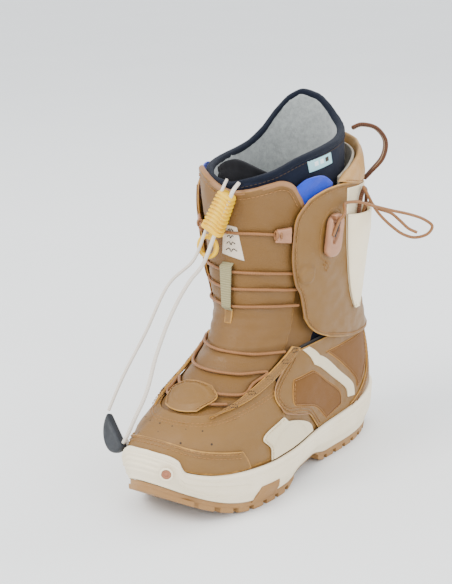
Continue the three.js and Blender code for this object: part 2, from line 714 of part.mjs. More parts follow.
function collar() {
  const steps = 22;
  const section = [[-4.0, 0], [2.4, 0], [3.2, 0.45], [1.4, 0.9], [-1.4, 1], [-3.6, 0.8]];
  const foot = (theta) => 0.989 - 0.014 * ease(0, 1, Math.sin(Math.max(0, theta - 86) / 188 * Math.PI) * 2);
  const rings = Array.from({ length: steps + 1 }, (_, i) => {
    const theta = lerp(86, 274, i / steps);
    const low = foot(theta);
    return section.map(([lift, share]) => skin(theta, lerp(low, collarTop(theta), share), lift));
  });
  const total = (ring) => ring.reduce((sum, p) => sum.add(p), new THREE.Vector3());
  const middle = (ring) => [total(ring).divideScalar(ring.length)];
  return ringSolid([middle(rings[0]), ...rings, middle(rings[steps])]);
}

function collarLining() {
  return panel({
    bottom: [[92, 0.955], [180, 0.955], [268, 0.955]],
    top: [[92, 1.0], [125, 1.05], [180, 1.075], [235, 1.05], [268, 1.0]],
    left: [[92, 0.955], [92, 1.0]],
    right: [[268, 0.955], [268, 1.0]],
  }, [-6.4, -5.2], 16, 3);
}

function upperTongue() {
  return panel({
    bottom: [[-52, 0.58], [0, 0.58], [52, 0.58]],
    top: [[-58, 0.95], [-48, 1.02], [-30, 1.02], [0, 0.975], [30, 0.995], [46, 1.01], [58, 0.94]],
    left: [[-52, 0.58], [-60, 0.8], [-58, 0.95]],
    right: [[52, 0.58], [60, 0.8], [58, 0.94]],
  }, TONGUE, 14, 9);
}

function tongueLabel() {
  return panel({
    bottom: [[-7, 0.762], [14, 0.746]],
    top: [[-4, 0.862], [8, 0.856]],
    left: [[-7, 0.762], [-4, 0.862]],
    right: [[14, 0.746], [8, 0.856]],
  }, [-2.2, -1.8], 5, 3);
}

// Webbing bridge over the laces, sewn down at its two ends.
function laceKeeper() {
  const arch = (v) => ease(0.02, 0.1, v) * (1 - ease(0.93, 0.99, v));
  const lift = (low) => (theta, t, u, v) => low + 3.6 * arch(v);
  return panel({
    bottom: [[-5.5, 0.584], [3, 0.584]],
    top: [[-7, 0.735], [4, 0.735]],
    left: [[-5.5, 0.584], [-7, 0.735]],
    right: [[3, 0.584], [4, 0.735]],
  }, [lift(-2.1), lift(-1.1)], 2, 14);
}

function harness(inner) {
  const sides = {
    bottom: [[63, 0.9], [86, 0.9]],
    top: [[63, 1.0], [70, 1.02], [80, 1.022], [86, 1.015]],
    left: [[63, 0.9], [63, 1.0]],
    right: [[86, 0.9], [86, 1.015]],
  };
  return panel(onSide(sides, inner), [-3.4, -2.2], 4, 3);
}

// Stow pocket: a pouch open at the top, on a backing that reaches above its mouth.
function pocket(inner) {
  const pouch = {
    bottom: [[110, 0.535], [117, 0.53]],
    top: [[92, 0.885], [116, 0.882], [140, 0.88]],
    left: [[110, 0.535], [104, 0.6], [95, 0.78], [92, 0.885]],
    right: [[117, 0.53], [126, 0.6], [137, 0.78], [140, 0.88]],
  };
  const backing = { ...pouch, top: [[91, 0.968], [115, 0.962], [141, 0.955]] };
  backing.left = [...pouch.left, [91, 0.968]];
  backing.right = [...pouch.right, [141, 0.955]];
  const bulge = (low) => (theta, t, u, v) => (
    FLAP_OUT(theta, t) + low + 7 * Math.sin(Math.PI * u) ** 0.8 * ease(0, 0.8, v)
  );
  const flat = (low) => (theta, t) => FLAP_OUT(theta, t) + low;
  return join(
    panel(onSide(pouch, inner), [bulge(GAP + 0.5), bulge(GAP + 1.8)], 7, 6),
    panel(onSide(backing, inner), [flat(GAP + 0.2), flat(GAP + 0.9)], 6, 7),
  );
}

// ---------------------------------------------------------------- lace fittings

const LOCK = { theta: 78, t: 0.83, width: 17, height: 34, lift: FLAP[1] + GAP, depth: 5 };
const SLIT = { width: 5.8, length: 22, lean: 22, x: -1.5, y: 8 };

function lockFrame(inner) {
  return surfaceFrame(inner ? -LOCK.theta : LOCK.theta, LOCK.t, LOCK.lift + 1.2, inner ? 4 : -4);
}

// The slit and what runs in it are drawn along the slit, then leaned and moved into the housing.
function inSlit(geometry, inner) {
  const lean = inner ? -SLIT.lean : SLIT.lean;
  return geometry.rotateZ(-lean * DEG).translate(inner ? -SLIT.x : SLIT.x, SLIT.y, 0);
}

function lockHousing(inner) {
  const body = plate(roundedOutline(LOCK.width, LOCK.height, 7), 0, LOCK.depth);
  const slit = new THREE.BoxGeometry(SLIT.width, SLIT.length, 7).translate(0, 0, LOCK.depth - 0.3);
  return cut(body, inSlit(slit, inner)).applyMatrix4(lockFrame(inner));
}

function lockCleat(inner) {
  const wedge = new THREE.BoxGeometry(1.6, 13, 2.4).translate(inner ? -1.8 : 1.8, -2, LOCK.depth - 2.1);
  return inSlit(wedge, inner).applyMatrix4(lockFrame(inner));
}

function upperGuide(inner) {
  const sides = {
    bottom: [[37, 0.815], [48, 0.812]],
    top: [[38, 0.858], [48, 0.864]],
    left: [[37, 0.815], [38, 0.858]],
    right: [[48, 0.812], [48, 0.864]],
  };
  return panel(onSide(sides, inner), [1.2, 3.2], 3, 2);
}

// Round bump in the cuff leather, over the middle lace guide.
function guideBoss(inner) {
  const disc = new THREE.CylinderGeometry(6.5, 9, 1.9, 18).rotateX(Math.PI / 2);
  return disc.applyMatrix4(surfaceFrame(inner ? -61 : 61, 0.705, FLAP[1] + 0.2));
}

// Zig-zag lace: rows across the tongue joined by short runs under the eyestays.
function laceLine(rows, turnTheta) {
  const points = [];
  rows.forEach(([outerTheta, outerT, innerTheta, innerT], k) => {
    const sag = Math.min(outerT, innerT);
    const line = [
      [outerTheta, outerT],
      [outerTheta * 0.55, lerp(outerT, innerT, 0.22) + 0.004],
      [0, (outerT + innerT) / 2 + (sag > 0.5 ? 0 : 0.008)],
      [innerTheta * 0.55, lerp(outerT, innerT, 0.78) + 0.004],
      [innerTheta, innerT],
    ];
    points.push(...(k % 2 === 0 ? line : line.reverse()));
    const next = rows[k + 1];
    if (!next) return;
    const side = k % 2 === 0 ? 2 : 0;
    const theta = k % 2 === 0 ? innerTheta - turnTheta : outerTheta + turnTheta;
    points.push([theta, lerp(k % 2 === 0 ? innerT : outerT, next[side + 1], 0.5)]);
  });
  return points.map(([theta, t]) => skin(theta, t, LACE_LIFT).toArray());
}

const LOWER_ROWS = [
  [34, 0.292, -34, 0.292],
  [42, 0.322, -40, 0.335],
  [50, 0.388, -45, 0.4],
  [56, 0.45, -48, 0.47],
];
const UPPER_ROWS = [
  [58, 0.602, -56, 0.602],
  [58, 0.655, -54, 0.655],
  [54, 0.705, -52, 0.71],
  [45, 0.836, -45, 0.836],
];

function zigzag(rows, turnTheta, steps) {
  return bar(laceLine(rows, turnTheta), LACE_R, LACE_R, 8, steps);
}

// ---------------------------------------------------------------- pull loop, cords and lock

function pullLoop() {
  const theta = 132;
  const line = [[0.965, 4.6], [0.985, 9], [1.03, 18], [1.085, 20], [1.13, 13], [1.145, 2], [1.135, -5.2]];
  return bar(line.map(([t, lift]) => skin(theta, t, lift).toArray()), 5.5, 0.9, 4, 24);
}

// Yellow lock of the liner's two cords: a ribbed body with a bore for each cord and a pull ring.
const LINER_LOCK = {
  top: [1.3, -48.5, 230], bottom: [-13, -48.5, 199], half: 5, boreX: 4.2, boreZ: 1.8, bore: 2.1,
};
const RING = { drop: 14, outer: 9.4, inner: 5.9, back: -5, front: -1.6 };

function linerLockFrame() {
  const [top, bottom] = [new THREE.Vector3(...LINER_LOCK.top), new THREE.Vector3(...LINER_LOCK.bottom)];
  const axis = top.clone().sub(bottom).normalize();
  const side = new THREE.Vector3().crossVectors(axis, new THREE.Vector3(0, -1, 0)).normalize();
  const frame = new THREE.Matrix4().makeBasis(side, axis, new THREE.Vector3().crossVectors(side, axis));
  return { frame: frame.setPosition(bottom), length: top.distanceTo(bottom) };
}

function linerLock() {
  const { frame, length } = linerLockFrame();
  const outline = new THREE.Shape();
  outline.moveTo(-9.5, 0);
  outline.lineTo(9.5, 0);
  outline.lineTo(7.6, length - 3);
  outline.lineTo(6.4, length);
  outline.lineTo(-6.4, length);
  outline.lineTo(-7.6, length - 3);
  outline.closePath();
  const body = plate(outline, -LINER_LOCK.half, LINER_LOCK.half);
  const thick = RING.front - RING.back;
  const neck = new THREE.BoxGeometry(6, 10, thick).translate(0, -3.5, RING.back + thick / 2);
  const disc = new THREE.Shape().absarc(0, -RING.drop, RING.outer, 0, 2 * Math.PI);
  const ring = plate(disc, RING.back, RING.front, 10);
  const hole = plate(new THREE.Shape().absarc(0, -RING.drop, RING.inner, 0, 2 * Math.PI), -9, 9, 10);
  const bores = [-1, 1].map((side) => (
    new THREE.CylinderGeometry(LINER_LOCK.bore, LINER_LOCK.bore, length + 8, 10)
      .translate(side * LINER_LOCK.boreX, length / 2, LINER_LOCK.boreZ)
  ));
  return cut(join(body, neck, ring), hole, ...bores).applyMatrix4(frame);
}

// Point on the straight stretch of a liner cord, at a height up the lock from its lower end.
function inLock(side, height) {
  const point = new THREE.Vector3(side * LINER_LOCK.boreX, height, LINER_LOCK.boreZ);
  return point.applyMatrix4(linerLockFrame().frame).toArray();
}

const THIN_CORD = [
  [-3.6, -42.6, 238], inLock(-1, 38), inLock(-1, 32), inLock(-1, 10), inLock(-1, 0), inLock(-1, -28),
  [-38, -68, 160], [-46, -88, 125], [-54, -106, 94], [-58.5, -118, 70.5],
];
const THICK_CORD = [
  [7, -42.8, 236.8], inLock(1, 39), inLock(1, 33), inLock(1, 10), inLock(1, 0), inLock(1, -28),
  [-25, -60, 162], [-28, -78, 142], [-29, -97, 114], [-27, -113, 89], [-30, -124, 71], [-34, -126.5, 60],
  [-38, -127, 52.5],
];

function cordBar(points, radius, steps) {
  return bar(points, radius, radius, 8, steps);
}

// Lace from the slit of the outer lock, out in a free loop and back to the stowed handle.
const FREE_LACE = [
  lockPoint(-5.2, 0.9, 4.6), lockPoint(-0.7, 12, 5.2), lockPoint(1.9, 18.6, 8), [57, 26, 215], [61, 38, 215],
  [68, 52, 210], [76, 66, 205], [85, 81, 200], [92, 91, 195], [96, 97, 189], [93, 96, 183], [85, 90, 180],
  [78, 83, 183], [72, 77, 189], [67, 71, 196], [64, 65, 203], [62, 60, 210], [61, 55, 217], [59, 51, 224.5],
];
const LACE_TAIL = [
  onPocket(111, 0.85, 6.4), onPocket(112, 0.885, 7), onPocket(114, 0.905, 10), [62, 70, 204], [70, 77, 200],
  [76, 81, 194], [82, 84, 188], [88, 87, 185],
];
const STOW_HANDLE = [
  onPocket(103, 0.79, 6.4), onPocket(103, 0.86, 6.4), onPocket(104, 0.92, 6.6), onPocket(108, 0.948, 6.8),
  onPocket(113, 0.95, 6.8), onPocket(118, 0.925, 6.6), onPocket(120, 0.86, 6.4), onPocket(120, 0.79, 6.2),
];

function onPocket(theta, t, lift) {
  return skin(theta, t, lift).toArray();
}

function lockPoint(x, y, z) {
  return new THREE.Vector3(x, y, z).applyMatrix4(lockFrame(false)).toArray();
}

// Half-moon handle hanging on the two liner cords against the front of the toe's inner side.
const HANDLE = {
  centre: [-49, -120.5, 58], edge: [0.765, -0.456, -0.455], face: [-0.4, -0.89, 0.22], radius: 17, thick: 6,
};

function linerHandle() {
  const outline = new THREE.Shape();
  outline.absarc(0, 0, HANDLE.radius, 0, Math.PI);
  outline.closePath();
  const edge = new THREE.Vector3(...HANDLE.edge).normalize();
  const face = new THREE.Vector3(...HANDLE.face).normalize();
  const down = new THREE.Vector3().crossVectors(edge, face).normalize();
  const frame = new THREE.Matrix4().makeBasis(edge, down, new THREE.Vector3().crossVectors(edge, down));
  return plate(outline, -HANDLE.thick / 2, HANDLE.thick / 2, 10)
    .applyMatrix4(frame.setPosition(...HANDLE.centre));
}

// ---------------------------------------------------------------- assembly

const boot = new THREE.Group();

function add(name, geometry, colour, roughness = 0.7, metalness = 0) {
  const material = new THREE.MeshStandardMaterial({ color: colour, roughness, metalness });
  const mesh = new THREE.Mesh(geometry, material);
  mesh.name = name;
  boot.add(mesh);
}

const COLOUR = {
  leather: 0xaa8755, suede: 0x96703a, rubber: 0x9b734e, cream: 0xdad0bc, tan: 0xb08a5c, dark: 0x1c2337,
  fleece: 0x969b96, blue: 0x234bbe, yellow: 0xf0cd3c, handle: 0x283037, webbing: 0xa59b73,
  lace: 0xc38c69, cord: 0xe1d7cd, plastic: 0xbe9178, loop: 0x6e4128, steel: 0x8a8d90, foam: 0x4a4a4a,
};

add('outsole', outsole(), COLOUR.rubber);
add('midsole', midsole(), COLOUR.cream);
add('toe_badge', toeBadge(), COLOUR.plastic);
add('inner_shell', innerShell(), COLOUR.foam);
add('liner_foot', linerFoot(), COLOUR.dark);
add('lasting_board', board(), COLOUR.webbing);
add('shank', shank(), COLOUR.steel, 0.3, 0.9);
add('footbed', footbed(), COLOUR.fleece);
add('toe_cap', toeCap(), COLOUR.leather);
add('vamp', vamp(), COLOUR.leather);
add('vamp_patch', vampPatch(), COLOUR.leather);
for (const [side, inner] of [['outer', false], ['inner', true]]) {
  add(`quarter_${side}`, panel(onSide(QUARTER_SIDES, inner), QUARTER, 12, 8), COLOUR.leather);
  add(`eyestay_${side}`, panel(onSide(EYESTAY_SIDES, inner), OVERLAY, 3, 10), COLOUR.leather);
  add(`forefoot_patch_${side}`, panel(onSide(FOREFOOT_SIDES, inner), QUARTER, 4, 5), COLOUR.cream);
  add(`ankle_stripe_${side}`, panel(onSide(STRIPE_SIDES, inner), OVERLAY, 1, 12), COLOUR.cream);
  add(`front_suede_${side}`, panel(onSide(FRONT_SUEDE_SIDES, inner), OVERLAY, 3, 7), COLOUR.suede);
  add(`rear_suede_${side}`, panel(onSide(REAR_SUEDE_SIDES, inner), OVERLAY, 5, 7), COLOUR.suede);
}
add('heel_counter', panel(COUNTER_SIDES, [OVERLAY[0] + 0.2, OVERLAY[1]], 12, 7), COLOUR.leather);
add('tongue_lower', lowerTongue(), COLOUR.leather);
add('tongue_bend', bendingTongue(), COLOUR.leather);
add('liner_bend', linerBend(), COLOUR.dark);
add('lace_lower', zigzag(LOWER_ROWS, 2, 44), COLOUR.lace);

for (const [side, inner] of [['outer', false], ['inner', true]]) {
  add(`cuff_quarter_${side}`, cuffQuarter(inner), COLOUR.leather);
  add(`stow_pocket_${side}`, pocket(inner), COLOUR.cream);
  add(`harness_${side}`, harness(inner), COLOUR.blue);
  add(`upper_guide_${side}`, upperGuide(inner), COLOUR.plastic, 0.45);
  add(`lace_lock_${side}`, lockHousing(inner), COLOUR.plastic, 0.45);
  add(`lock_cleat_${side}`, lockCleat(inner), COLOUR.dark, 0.5);
}
add('cuff_lining', cuffLining(), COLOUR.foam);
add('backstay', backstay(), COLOUR.leather);
add('collar', collar(), COLOUR.tan);
add('collar_lining', collarLining(), COLOUR.cream);
add('tongue_upper', upperTongue(), COLOUR.leather);
add('tongue_label', tongueLabel(), COLOUR.cream);
add('lace_keeper', laceKeeper(), COLOUR.webbing);
add('lace_upper', zigzag(UPPER_ROWS, 2, 66), COLOUR.lace);
add('liner_cuff', linerCuff(), COLOUR.dark);
add('liner_binding', linerBinding(), COLOUR.dark);
add('liner_tongue', linerTongue(), COLOUR.dark);
add('liner_label', linerLabel(), 0xa8cdd0);
add('pull_loop', pullLoop(), COLOUR.loop);
add('liner_lock', linerLock(), COLOUR.yellow, 0.4);
add('liner_cord_thin', cordBar(THIN_CORD, 1.2, 34), COLOUR.cord);
add('liner_cord_thick', cordBar(THICK_CORD, 1.5, 34), COLOUR.cord);

add('free_lace', cordBar(FREE_LACE, LACE_R, 36), COLOUR.lace);
add('lace_tail', cordBar(LACE_TAIL, LACE_R, 10), COLOUR.lace);
add('stow_handle', bar(STOW_HANDLE, 1.7, 0.8, 4, 20), COLOUR.loop);
add('liner_handle', linerHandle(), COLOUR.handle, 0.5);

boot.position.set(-CENTRE[0], -CENTRE[1], 0);
export default boot;
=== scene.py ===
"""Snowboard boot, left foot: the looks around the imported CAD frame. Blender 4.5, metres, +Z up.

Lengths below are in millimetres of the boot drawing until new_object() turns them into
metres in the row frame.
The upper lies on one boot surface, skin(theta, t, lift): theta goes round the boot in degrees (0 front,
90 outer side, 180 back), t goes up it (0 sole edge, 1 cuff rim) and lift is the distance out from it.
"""

import math

import bpy
import numpy as np
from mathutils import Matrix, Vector


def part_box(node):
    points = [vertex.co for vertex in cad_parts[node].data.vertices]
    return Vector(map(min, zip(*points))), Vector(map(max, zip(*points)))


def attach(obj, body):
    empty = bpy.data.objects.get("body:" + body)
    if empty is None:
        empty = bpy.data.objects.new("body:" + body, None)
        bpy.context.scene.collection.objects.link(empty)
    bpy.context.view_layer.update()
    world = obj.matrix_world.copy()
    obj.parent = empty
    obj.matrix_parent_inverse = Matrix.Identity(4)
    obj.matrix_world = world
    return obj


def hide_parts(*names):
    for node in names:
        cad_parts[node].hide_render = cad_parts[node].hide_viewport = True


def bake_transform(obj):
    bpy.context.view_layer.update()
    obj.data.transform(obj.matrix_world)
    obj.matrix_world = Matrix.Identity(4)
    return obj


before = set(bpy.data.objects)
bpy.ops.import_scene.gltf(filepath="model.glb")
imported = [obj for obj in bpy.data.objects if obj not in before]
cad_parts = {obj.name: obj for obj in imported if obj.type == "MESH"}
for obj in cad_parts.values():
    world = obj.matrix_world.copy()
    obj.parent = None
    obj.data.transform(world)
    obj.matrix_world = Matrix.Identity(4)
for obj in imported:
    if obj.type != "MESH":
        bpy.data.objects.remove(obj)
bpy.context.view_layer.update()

MM = 0.001
CENTRE = np.array([-4.0, 2.1, 0.0])      # boot drawing to row frame: this point is the row's x = y = 0
SIDES = (("outer", 1), ("inner", -1))

# ------------------------------------------------------------------ boot surface

# t, front y and z, back y and z, half width outer and inner, widest place, end powers, waist, shift
ROWS = np.array([
    [0.00, -137, 22, 141, 16, 47, 47, 0.66, 2.2, 2.6, 0.17, 0.22, 0],
    [0.07, -139, 42, 144, 32, 48, 48, 0.655, 2.25, 2.6, 0.14, 0.19, 0],
    [0.15, -131, 60, 143, 50, 48, 48, 0.65, 2.3, 2.55, 0.11, 0.15, 0],
    [0.25, -108, 76, 140, 68, 46, 46, 0.63, 2.3, 2.45, 0.07, 0.1, 0],
    [0.36, -78, 92, 135, 88, 43.5, 44, 0.58, 2.15, 2.35, 0.02, 0.03, -1],
    [0.47, -53, 111, 127, 107, 43, 43, 0.53, 2.05, 2.25, 0, 0, -2],
    [0.58, -40, 136, 119, 128, 45, 45, 0.5, 2.05, 2.2, 0, 0, -3],
    [0.70, -39, 166, 112, 154, 49, 49, 0.5, 2.05, 2.15, 0, 0, -4],
    [0.84, -41, 199, 108, 190, 53, 53, 0.5, 2.05, 2.1, 0, 0, -4],
    [1.00, -44, 235, 106, 232, 56, 56, 0.5, 2.05, 2.1, 0, 0, -4],
    [1.25, -46, 290, 101, 290, 57, 57, 0.5, 2.05, 2.1, 0, 0, -4],
])
WAIST_PLACE = (0.4, 0.17)
TOE_SWING = (10, 10, 130)
TOE_LIFT = (13, 95, 45)
OUTSOLE_TOP = 8
TOE_SPRING = 26
SOLE_LIFT = 0.4
HEEL_BEVEL = 8
ARCH_LIFT = 9
LINER_LIFT = -5.7
LINER_THICK = 5.5


def smooth_table(knots, values):
    """Smooth curve through values at knots that never overshoots; works on arrays."""
    knots = np.asarray(knots, float)
    values = np.asarray(values, float)
    h = np.diff(knots)
    d = np.diff(values) / h
    m = np.empty(len(values))
    m[0], m[-1] = d[0], d[-1]
    for i in range(1, len(values) - 1):
        a, b = 2 * h[i] + h[i - 1], h[i] + 2 * h[i - 1]
        m[i] = 0 if d[i - 1] * d[i] <= 0 else (a + b) / (a / d[i - 1] + b / d[i])

    def curve(x):
        x = np.asarray(x, float)
        i = np.clip(np.searchsorted(knots, x, side="right") - 1, 0, len(h) - 1)
        s = (x - knots[i]) / h[i]
        u = 1 - s
        inside = (values[i] * u * u * (1 + 2 * s) + values[i + 1] * s * s * (1 + 2 * u)
                  + h[i] * s * u * (m[i] * u - m[i + 1] * s))
        low = values[0] + m[0] * (x - knots[0])
        high = values[-1] + m[-1] * (x - knots[-1])
        return np.where(x < knots[0], low, np.where(x > knots[-1], high, inside))
    return curve


ROW_CURVES = [smooth_table(ROWS[:, 0], ROWS[:, k]) for k in range(1, ROWS.shape[1])]


def ease(a, b, x):
    s = np.clip((np.asarray(x, float) - a) / (b - a), 0, 1)
    return s * s * (3 - 2 * s)


def lerp(a, b, s):
    return a + (b - a) * s


def toe_lift(y):
    return TOE_LIFT[0] * np.maximum(0, (-y - TOE_LIFT[1]) / TOE_LIFT[2]) ** 2


def bare_skin(theta, t):
    theta, t = np.broadcast_arrays(np.asarray(theta, float), np.asarray(t, float))
    (front_y, front_z, back_y, back_z, outer, inner, widest, power_front, power_back,
     waist_outer, waist_inner, shift) = [curve(t) for curve in ROW_CURVES]
    c, s = np.cos(np.radians(theta)), np.sin(np.radians(theta))
    length = np.hypot(front_y - back_y, front_z - back_z)
    power = np.where(c >= 0, power_front, power_back)
    reach = np.where(c >= 0, 1 - widest, widest) * length
    part = (np.sign(c) * np.abs(c) ** (2 / power) * reach + widest * length) / length
    half = np.where(s >= 0, outer, inner)
    waist = np.where(s >= 0, waist_outer, waist_inner)
    pinch = 1 - waist * np.exp(-(((part - WAIST_PLACE[0]) / WAIST_PLACE[1]) ** 2))
    y = back_y + (front_y - back_y) * part
    z = back_z + (front_z - back_z) * part + toe_lift(y) * (1 - ease(0, 0.1, t))
    swing = np.maximum(0, (-y - TOE_SWING[1]) / TOE_SWING[2])
    x = np.sign(s) * half * np.abs(s) ** (2 / power) * pinch - TOE_SWING[0] * swing ** 2 + shift
    return np.stack([x, y, z], axis=-1)


def signed_power(x, power):
    """Power of the size of x, with the sign of x kept."""
    return np.sign(x) * np.abs(x) ** power


def unit(v):
    return v / np.maximum(np.linalg.norm(v, axis=-1, keepdims=True), 1e-9)


def skin_normal(theta, t):
    theta, t = np.asarray(theta, float), np.asarray(t, float)
    around = bare_skin(theta + 0.5, t) - bare_skin(theta - 0.5, t)
    up = bare_skin(theta, t + 0.004) - bare_skin(theta, t - 0.004)
    return unit(np.cross(around, up))


def skin(theta, t, lift=0.0):
    lift = np.asarray(lift, float)
    return bare_skin(theta, t) + skin_normal(theta, t) * lift[..., None]


def along(points, s):
    """Smooth line through the points, at parts s of it."""
    p = np.asarray(points, float)
    s = np.asarray(s, float)
    n = len(p) - 1
    at = np.clip(s * n, 0, n)
    i = np.minimum(at.astype(int), n - 1)
    w = (at - i)[..., None]
    a, b, c, d = (p[np.clip(i + k, 0, n)] for k in (-1, 0, 1, 2))
    v0, v1 = (c - a) * 0.5, (d - b) * 0.5
    return ((2 * b - 2 * c + v0 + v1) * w ** 3 + (-3 * b + 3 * c - 2 * v0 - v1) * w ** 2 + v0 * w + b)


def arc_line(points, step):
    """The smooth line through 3-D points, cut at even distances of about step."""
    fine = along(points, np.linspace(0, 1, 40 * len(points)))
    run = np.concatenate([[0], np.cumsum(np.linalg.norm(np.diff(fine, axis=0), axis=1))])
    count = max(2, int(round(run[-1] / step)) + 1)
    even = np.linspace(0, run[-1], count)
    return np.stack([np.interp(even, run, fine[:, k]) for k in range(3)], axis=1)


def ripple(p, size, seed=0):
    """Gentle unevenness between about -1 and 1, from crossing waves of about size millimetres."""
    rng = np.random.default_rng(seed)
    total = np.zeros(p.shape[:-1])
    for _ in range(7):
        direction = unit(rng.normal(size=3))
        wave = 2 * math.pi / (size * rng.uniform(0.6, 1.7))
        total += np.sin(p @ direction * wave + rng.uniform(0, 2 * math.pi))
    return total / 3.0


# ------------------------------------------------------------------ meshes

MATERIALS = {}


def dress(obj, material, body):
    """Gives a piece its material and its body."""
    obj.data.materials.clear()
    obj.data.materials.append(MATERIALS[material])
    if isinstance(body, str):
        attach(obj, body)
    return obj


def new_object(name, verts, faces, smooth=True, cloth=None, edge=None):
    """Mesh object from millimetre vertices; cloth is one (x, y, 0) pair per face corner."""
    mesh = bpy.data.meshes.new(name)
    mesh.from_pydata(((np.asarray(verts, float) - CENTRE) * MM).tolist(), [], faces)
    mesh.polygons.foreach_set("use_smooth", np.full(len(mesh.polygons), smooth))
    if cloth is not None:
        flat = np.asarray(cloth, np.float32)
        layer = mesh.attributes.new("cloth", "FLOAT_VECTOR", "CORNER")
        padded = np.concatenate([flat, np.zeros((len(flat), 1), np.float32)], 1)
        layer.data.foreach_set("vector", padded.ravel())
    if edge is not None:
        layer = mesh.attributes.new("edge", "FLOAT", "POINT")
        layer.data.foreach_set("value", np.asarray(edge, np.float32).ravel())
    obj = bpy.data.objects.new(name, mesh)
    bpy.context.scene.collection.objects.link(obj)
    return obj


def grid_faces(rows, columns, wrap=False, start=0, flip=False):
    j, i = np.meshgrid(np.arange(rows - 1), np.arange(columns if wrap else columns - 1), indexing="ij")
    k = (i + 1) % columns
    quads = np.stack([j * columns + i, j * columns + k, (j + 1) * columns + k, (j + 1) * columns + i], -1)
    quads = quads.reshape(-1, 4) + start
    corners = np.stack([np.stack([i, j], -1), np.stack([i + 1, j], -1), np.stack([i + 1, j + 1], -1),
                        np.stack([i, j + 1], -1)], -2).reshape(-1, 4, 2)
    return (quads[:, ::-1], corners[:, ::-1]) if flip else (quads, corners)


def spaced(length, pitch, rim):
    """Parts 0 to 1 of a length, even inside and closer near both ends where the rim is rounded."""
    near = [0, 0.12 * rim, 0.4 * rim, rim]
    inside = max(2, int(round((length - 2 * rim) / pitch)) + 1)
    middle = np.linspace(rim, length - rim, inside)[1:-1]
    far = [length - x for x in reversed(near)]
    return np.array([*near, *middle, *far]) / length


def coons(sides, u, v):
    """(theta, t) of a patch whose four sides are smooth lines, at every pair of u and v."""
    lo, hi = along(sides["bottom"], u), along(sides["top"], u)
    left, right = along(sides["left"], v), along(sides["right"], v)
    uu, vv = u[None, :, None], v[:, None, None]
    corner = [lo[0], lo[-1], hi[0], hi[-1]]
    return (lerp(lo[None], hi[None], vv) + lerp(left[:, None], right[:, None], uu)
            - lerp(lerp(corner[0], corner[1], uu), lerp(corner[2], corner[3], uu), vv))


def mirrored(sides):
    return {key: [(-a, b) for a, b in line] for key, line in sides.items()}


def on_side(sides, sign):
    return sides if sign > 0 else mirrored(sides)


def surface_line(line, count=200, lift=0.0):
    """Points of a (theta, t) line on the boot surface."""
    at = along(line, np.linspace(0, 1, count))
    return skin(at[:, 0], at[:, 1], lift)


def nearest(points, lines):
    """Distance of each point to the nearest of several polylines' points."""
    flat = points.reshape(-1, 3)
    best = np.full(len(flat), 1e9)
    for line in lines:
        for k in range(0, len(flat), 4000):
            part = flat[k:k + 4000]
            distance = np.linalg.norm(part[:, None] - line[None], axis=2).min(axis=1)
            best[k:k + 4000] = np.minimum(best[k:k + 4000], distance)
    return best.reshape(points.shape[:-1])


def panel(name, sides, low, high, pitch=2.2, rim=0.7, puff=0.0, seams=(), rough=0.12, seed=1, shape=None):
    """Closed leather or fabric patch between two lifts, with rounded edges, a crown of puff
    millimetres, a groove along each seam line and slight unevenness."""
    coarse = np.linspace(0, 1, 13)
    at = coons(sides, coarse, coarse)
    p = skin(at[..., 0], at[..., 1], 0)
    wide = np.linalg.norm(np.diff(p, axis=1), axis=2).sum(1).mean()
    tall = np.linalg.norm(np.diff(p, axis=0), axis=2).sum(0).mean()
    u, v = spaced(wide, pitch, rim), spaced(tall, pitch, rim)
    at = coons(sides, u, v)
    theta, t = at[..., 0], at[..., 1]
    base = skin(theta, t, 0)
    side = np.minimum(np.minimum(u, 1 - u)[None, :] * wide, np.minimum(v, 1 - v)[:, None] * tall)
    lift_in = low(theta, t) if callable(low) else np.full(theta.shape, float(low))
    lift_out = high(theta, t) if callable(high) else np.full(theta.shape, float(high))
    thick = lift_out - lift_in
    fall = 1 - np.sqrt(np.clip(1 - (1 - np.clip(side / rim, 0, 1)) ** 2, 0, 1))
    crown = puff * np.sin(math.pi * u)[None, :] ** 0.7 * np.sin(math.pi * v)[:, None] ** 0.7
    crown = crown + rough * ripple(base, 14, seed) * ease(0.5, 4, side)
    if shape is not None:
        crown = crown + shape(theta, t, u[None, :] + 0 * t, v[:, None] + 0 * t)
    if seams:
        crown = crown - 0.42 * np.exp(-(nearest(base, seams) / 1.1) ** 2)
    outer = skin(theta, t, lift_out + crown - fall * thick * 0.55)
    inner = skin(theta, t, lift_in)
    return shell(name, outer, inner, u * wide, v * tall, side)


